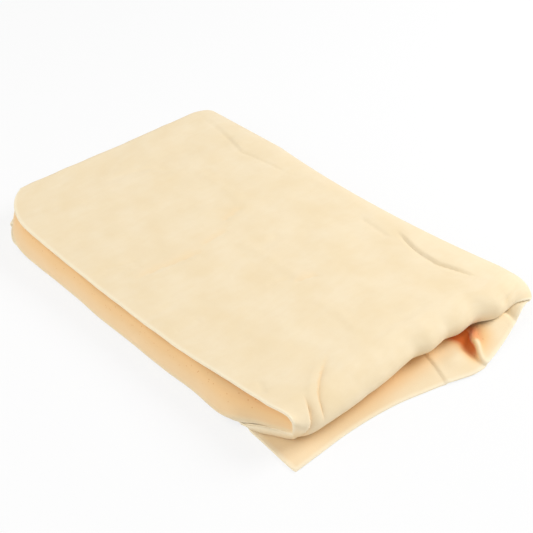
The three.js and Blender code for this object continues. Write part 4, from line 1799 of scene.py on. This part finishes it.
        z = z + np.maximum(raised, 0.0) + np.minimum(raised, 0.0) * room
        middle = np.stack([x, y, z], -1)
        fold = self.fold_points(middle[0], np.concatenate([0 * level, place]))
        return self.finished(np.concatenate([fold[:-1], middle]), np.concatenate([0 * level, place]))

    def front_places(self, place: Array) -> Array:
        """Y of the gathered part along the front cut edge: a smooth curve through its knots.

        Args:
            place: Places across.

        Returns:
            Y.
        """
        seam = self.plan.seam(np.array(self.plan.flap_shape[-1][1]))[0]
        knots = [loose[0] for loose in self.spread_out] + [seam + loose[0] for _, loose in self.tip]
        return knot_weights(place, np.array(self.knots)) @ np.array(knots)

    def fold_points(self, start: Array, place: Array) -> Array:
        """Points round the back fold, from the third layer down to the base's first row.

        Args:
            start: The base's first row.
            place: Places over the gathered part, 0 on the base.

        Returns:
            Points, the last row being the base's first.
        """
        plan = self.plan
        x, y = start[:, 0], start[:, 1]
        turn = self.turn(place)
        middle, half = plan.inner_turn(x)
        narrow = plan.narrowed(y) + self.fold_inset * self.fold_inset_end.down(y, plan.left)
        inner_y = np.where(turn > 0, plan.inner_edge(half, turn), narrow)
        inner_z = np.where(turn > 0, middle - half * np.cos(turn), plan.lower_level(x, narrow))
        inner = np.stack([x, inner_y, inner_z], -1)
        depth = (plan.panel_back - plan.back) * self.fold_full.up(y, plan.left)
        return half_turn(start, inner, depth, self.fold_rows)

    def finished(self, middle: Array, place: Array) -> ClothGrid:
        """Adds rim distances, flat places and painted shade to the layer's points.

        Args:
            middle: Points.
            place: Places over the gathered part, 0 on the base.

        Returns:
            The grid, with painted shade under the roll and the deepest painted shade in the pocket.
        """
        width, length = run_length(middle, 1), run_length(middle, 0)
        rim = np.minimum(width, length[-1] - length)
        x, y = middle[..., 0], middle[..., 1]
        flat = np.stack([x, width, self.sheet_place + 0 * x], -1)
        # Painted shade: the pocket, the glow round its mouth, the roll's shadow and the crease under the
        # nose
        pocket = self.pocket_shade * self.pocket_floor.at(place) * self.pocket_run.at(x)
        mouth_x, mouth_y = self.glow_place
        glow = self.glow_start.up(place) * self.glow_reach.down(np.hypot(x - mouth_x, y - mouth_y))
        glow = self.glow_shade * glow * (1.0 - self.crest.at(place) * self.crest_start.up(x))
        shade = self.shade_run.at(x) * self.shade_end.down(place)
        shade = shade * mix(*self.shade_warmth, self.shade_across.up(y))
        slit = self.slit_shade * self.slit.at(place) * self.slit_run.at(x)
        painted_shade = np.clip(np.maximum(pocket, glow) + shade + slit, 0.0, 1.0)
        return ClothGrid(middle, rim, flat, painted_shade, self.plan.thickness)

    def build(self) -> None:
        """Makes the layer, up to its seam with the cover over the lengthwise fold."""
        grid = self.grid()
        columns = slice(0, grid.middle.shape[1] - 1)
        obj = self.keep(grid, "base", slice(None), columns, [])
        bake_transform(obj)
        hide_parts("base_panel", "lower_end_fold", "spine_fold", "corner_gusset", "corner_pleat")


@dataclass
class InnerLowerLayer(ClothPart):
    """Third layer, hidden between the base and the second layer.

    Attributes:
        step: Grid spacing.
        front: X of its front cut edge.
        inset: Distance of its left cut edge from the open side.
        back_inset: Distance by which that edge lies further in at the back, over X.
        end_outset: Distance by which it comes out again at the back fold, over X.
        hills: Slow unevenness of the layer.
        level_edge: Distance from the inner fold within which the unevenness fades.
        sheet_place: Third value of the flat places, for this layer.
    """

    step: float = 4.0
    front: float = 80.0
    inset: float = 11.0
    back_inset: Gain = Gain(7.0, Ramp(-120.0, -150.0))
    end_outset: Gain = Gain(4.0, Ramp(-152.0, -164.0))
    hills: Hills = Hills(0.3, 40.0, 41)
    level_edge: float = 20.0
    sheet_place: float = 120.0

    def grid(self) -> ClothGrid:
        """Works out the third layer: a gently rolling level that rises to the back fold.

        Returns:
            The grid.
        """
        plan = self.plan
        wide = plan.inner_right - plan.left - self.inset
        away = edge_first(wide, self.step, plan.thickness / 2)
        ahead = edge_first(self.front - plan.panel_back, self.step, plan.thickness / 2)[::-1]
        x = (self.front - ahead)[:, None] + 0 * away[None]
        left = plan.left + self.inset + self.back_inset.at(x) - self.end_outset.at(x)
        y = mix(left, plan.inner_right, away / wide)
        hills = self.hills.at(x, y) * smooth(plan.inner_right - y, 0.0, self.level_edge)
        z = plan.lower_level(x, y) + hills * (1.0 - plan.back_roll(x))
        rim = np.minimum(away[None] + 0 * x, ahead[:, None] + 0 * x)
        flat = np.stack([x, y, 0 * x + self.sheet_place], -1)
        return ClothGrid(np.stack([x, y, z], -1), rim, flat, 0 * x, plan.thickness)

    def build(self) -> None:
        """Makes the layer, which goes with the lower half."""
        obj = self.keep(self.grid(), "inner_lower", slice(None), slice(None), ["base"])
        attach(obj, Body.LOWER.value)
        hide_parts("inner_lower_panel")


@dataclass
class InnerSpine(ClothPart):
    """Inner lengthwise fold, which joins the third layer to the second.

    Attributes:
        step: Grid spacing.
        front: X of its front cut edge.
        turn_step: Spacing round the fold, in radians.
        bend: Where it is closer, at the line along which the fold bends when the cloth is opened.
        sheet_place: Third value of the flat places, for this fold.
        bend_start: Point at which it starts to bend when the spine is opened, in metres.
        bend_end: Point at which it is turned fully, in metres.
    """

    step: float = 3.0
    front: float = 80.0
    turn_step: float = 0.2
    bend: Spot = Spot(math.pi / 2, 0.2, 14.0)
    sheet_place: float = 160.0
    bend_start: Point = (0.0, 0.080, 0.0113)
    bend_end: Point = (0.0, 0.080, 0.0139)

    def grid(self) -> ClothGrid:
        """Works out the fold: half an ellipse from the third layer's edge up to the second layer's.

        Returns:
            The grid.
        """
        plan = self.plan
        ahead = edge_first(self.front - plan.panel_back, self.step, plan.thickness / 2)[::-1]
        x = (self.front - ahead)[:, None]
        turn = dense(0.0, math.pi, self.turn_step, (self.bend,))[None]
        middle, half = plan.inner_turn(x)
        y = plan.inner_edge(half, turn)
        z = middle - half * np.cos(turn)
        rim = ahead[:, None] + 0 * y
        flat = np.stack([x + 0 * y, half * turn, 0 * y + self.sheet_place], -1)
        return ClothGrid(np.stack([x + 0 * y, y, z], -1), rim, flat, 0 * y, plan.thickness)

    def build(self) -> None:
        """Makes the fold, from the third layer up to the second."""
        obj = self.keep(self.grid(), "inner_spine", slice(None), slice(None), ["inner_lower"])
        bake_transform(obj)
        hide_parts("inner_spine_fold")


@dataclass(frozen=True)
class Lamp:
    """A square soft light that faces the cloth.

    Attributes:
        name: Name of the light.
        place: Place of the light, in metres.
        size: Side of the light, in metres.
        watts: Power of the light.
    """

    name: str
    place: Point
    size: float
    watts: float

    def build(self) -> None:
        """Makes the light and turns it to the middle of the cloth."""
        data = bpy.data.lights.new(self.name, "AREA")
        data.size = self.size
        data.energy = self.watts
        aim(add_object(self.name, data), self.place, ORIGIN)


@dataclass(frozen=True)
class Studio:
    """Plain pale floor, soft light and camera.

    Attributes:
        floor_size: Side of the floor, in metres.
        floor_grey: Shade of the floor.
        floor_white: Share of pure white that the camera sees on it.
        surround: Strength of the light from all around.
        lamps: A broad key light behind the lengthwise fold, a low one at the open side and one in front.
        camera_place: Place of the camera, in metres.
        camera_target: Point it looks at.
        lens: Focal length, in millimetres.
        sensor: Width of the sensor, in millimetres.
    """

    floor_size: float = 6.0
    floor_grey: float = 0.9
    floor_white: float = 0.8
    surround: float = 0.52
    lamps: tuple[Lamp, ...] = (
        Lamp("key", (0.5, 0.9, 0.85), 0.7, 11.5),
        Lamp("side", (-0.3, -1.05, 0.5), 1.2, 6.2),
        Lamp("front", (0.9, -0.5, 1.2), 1.4, 0.5),
    )
    camera_place: Point = (0.396136, -0.371165, 0.438219)
    camera_target: Point = (0.0, 0.0117, 0.0)
    lens: float = 67.54
    sensor: float = 36.0

    def build(self) -> None:
        """Makes the floor, the light and the camera."""
        self.floor()
        for lamp in self.lamps:
            lamp.build()
        self.world()
        self.camera()

    def floor(self) -> None:
        """Makes a white floor that takes the cloth's shadow and shows nearly white to the camera."""
        half = self.floor_size / 2
        mesh = bpy.data.meshes.new("floor")
        corners = [(-half, -half, 0.0), (half, -half, 0.0), (half, half, 0.0), (-half, half, 0.0)]
        mesh.from_pydata(corners, [], [(0, 1, 2, 3)])
        material = bpy.data.materials.new("floor_white")
        material.use_nodes = True
        nodes, links = material.node_tree.nodes, material.node_tree.links
        nodes.clear()
        output = nodes.new("ShaderNodeOutputMaterial")
        matt = nodes.new("ShaderNodeBsdfDiffuse")
        matt.inputs["Color"].default_value = (self.floor_grey, self.floor_grey, self.floor_grey, 1.0)
        glow = nodes.new("ShaderNodeEmission")
        glow.inputs["Color"].default_value = (1.0, 1.0, 1.0, 1.0)
        blend = nodes.new("ShaderNodeMixShader")
        path = nodes.new("ShaderNodeLightPath")
        share = nodes.new("ShaderNodeMath")
        share.operation = "MULTIPLY"
        share.inputs[1].default_value = self.floor_white
        links.new(path.outputs["Is Camera Ray"], share.inputs[0])
        links.new(share.outputs["Value"], blend.inputs["Fac"])
        links.new(matt.outputs["BSDF"], blend.inputs[1])
        links.new(glow.outputs["Emission"], blend.inputs[2])
        links.new(blend.outputs["Shader"], output.inputs["Surface"])
        mesh.materials.append(material)
        add_object("floor", mesh)

    def world(self) -> None:
        """Sets an even white surround, shown as pure white to the camera."""
        world = bpy.data.worlds.new("surround")
        bpy.context.scene.world = world
        world.use_nodes = True
        background = world.node_tree.nodes["Background"]
        background.inputs["Color"].default_value = (1.0, 1.0, 1.0, 1.0)
        nodes, links = world.node_tree.nodes, world.node_tree.links
        path = nodes.new("ShaderNodeLightPath")
        level = nodes.new("ShaderNodeMapRange")
        level.inputs["To Min"].default_value = self.surround
        level.inputs["To Max"].default_value = 1.0
        links.new(path.outputs["Is Camera Ray"], level.inputs["Value"])
        links.new(level.outputs["Result"], background.inputs["Strength"])

    def camera(self) -> None:
        """Sets the camera at the photograph's viewing angle."""
        data = bpy.data.cameras.new("camera")
        data.lens = self.lens
        data.sensor_width = self.sensor
        obj = add_object("camera", data)
        aim(obj, self.camera_place, self.camera_target)
        bpy.context.scene.camera = obj


def main() -> None:
    """Builds the cloth, layer by layer, and the studio round it."""
    logging.basicConfig(level=logging.INFO, format="%(name)s %(message)s")
    plan = FoldPlan.from_solids(CLOTH_THICKNESS)
    finish = ChamoisFinish().material()
    for kind in (BaseLayer, InnerLowerLayer, InnerSpine, InnerUpperLayer, CoverLayer):
        part = kind(plan)
        part.build()
        part.dress(finish)
    Studio().build()
    bpy.context.scene.view_settings.view_transform = "Standard"


if __name__ == "__main__":
    main()
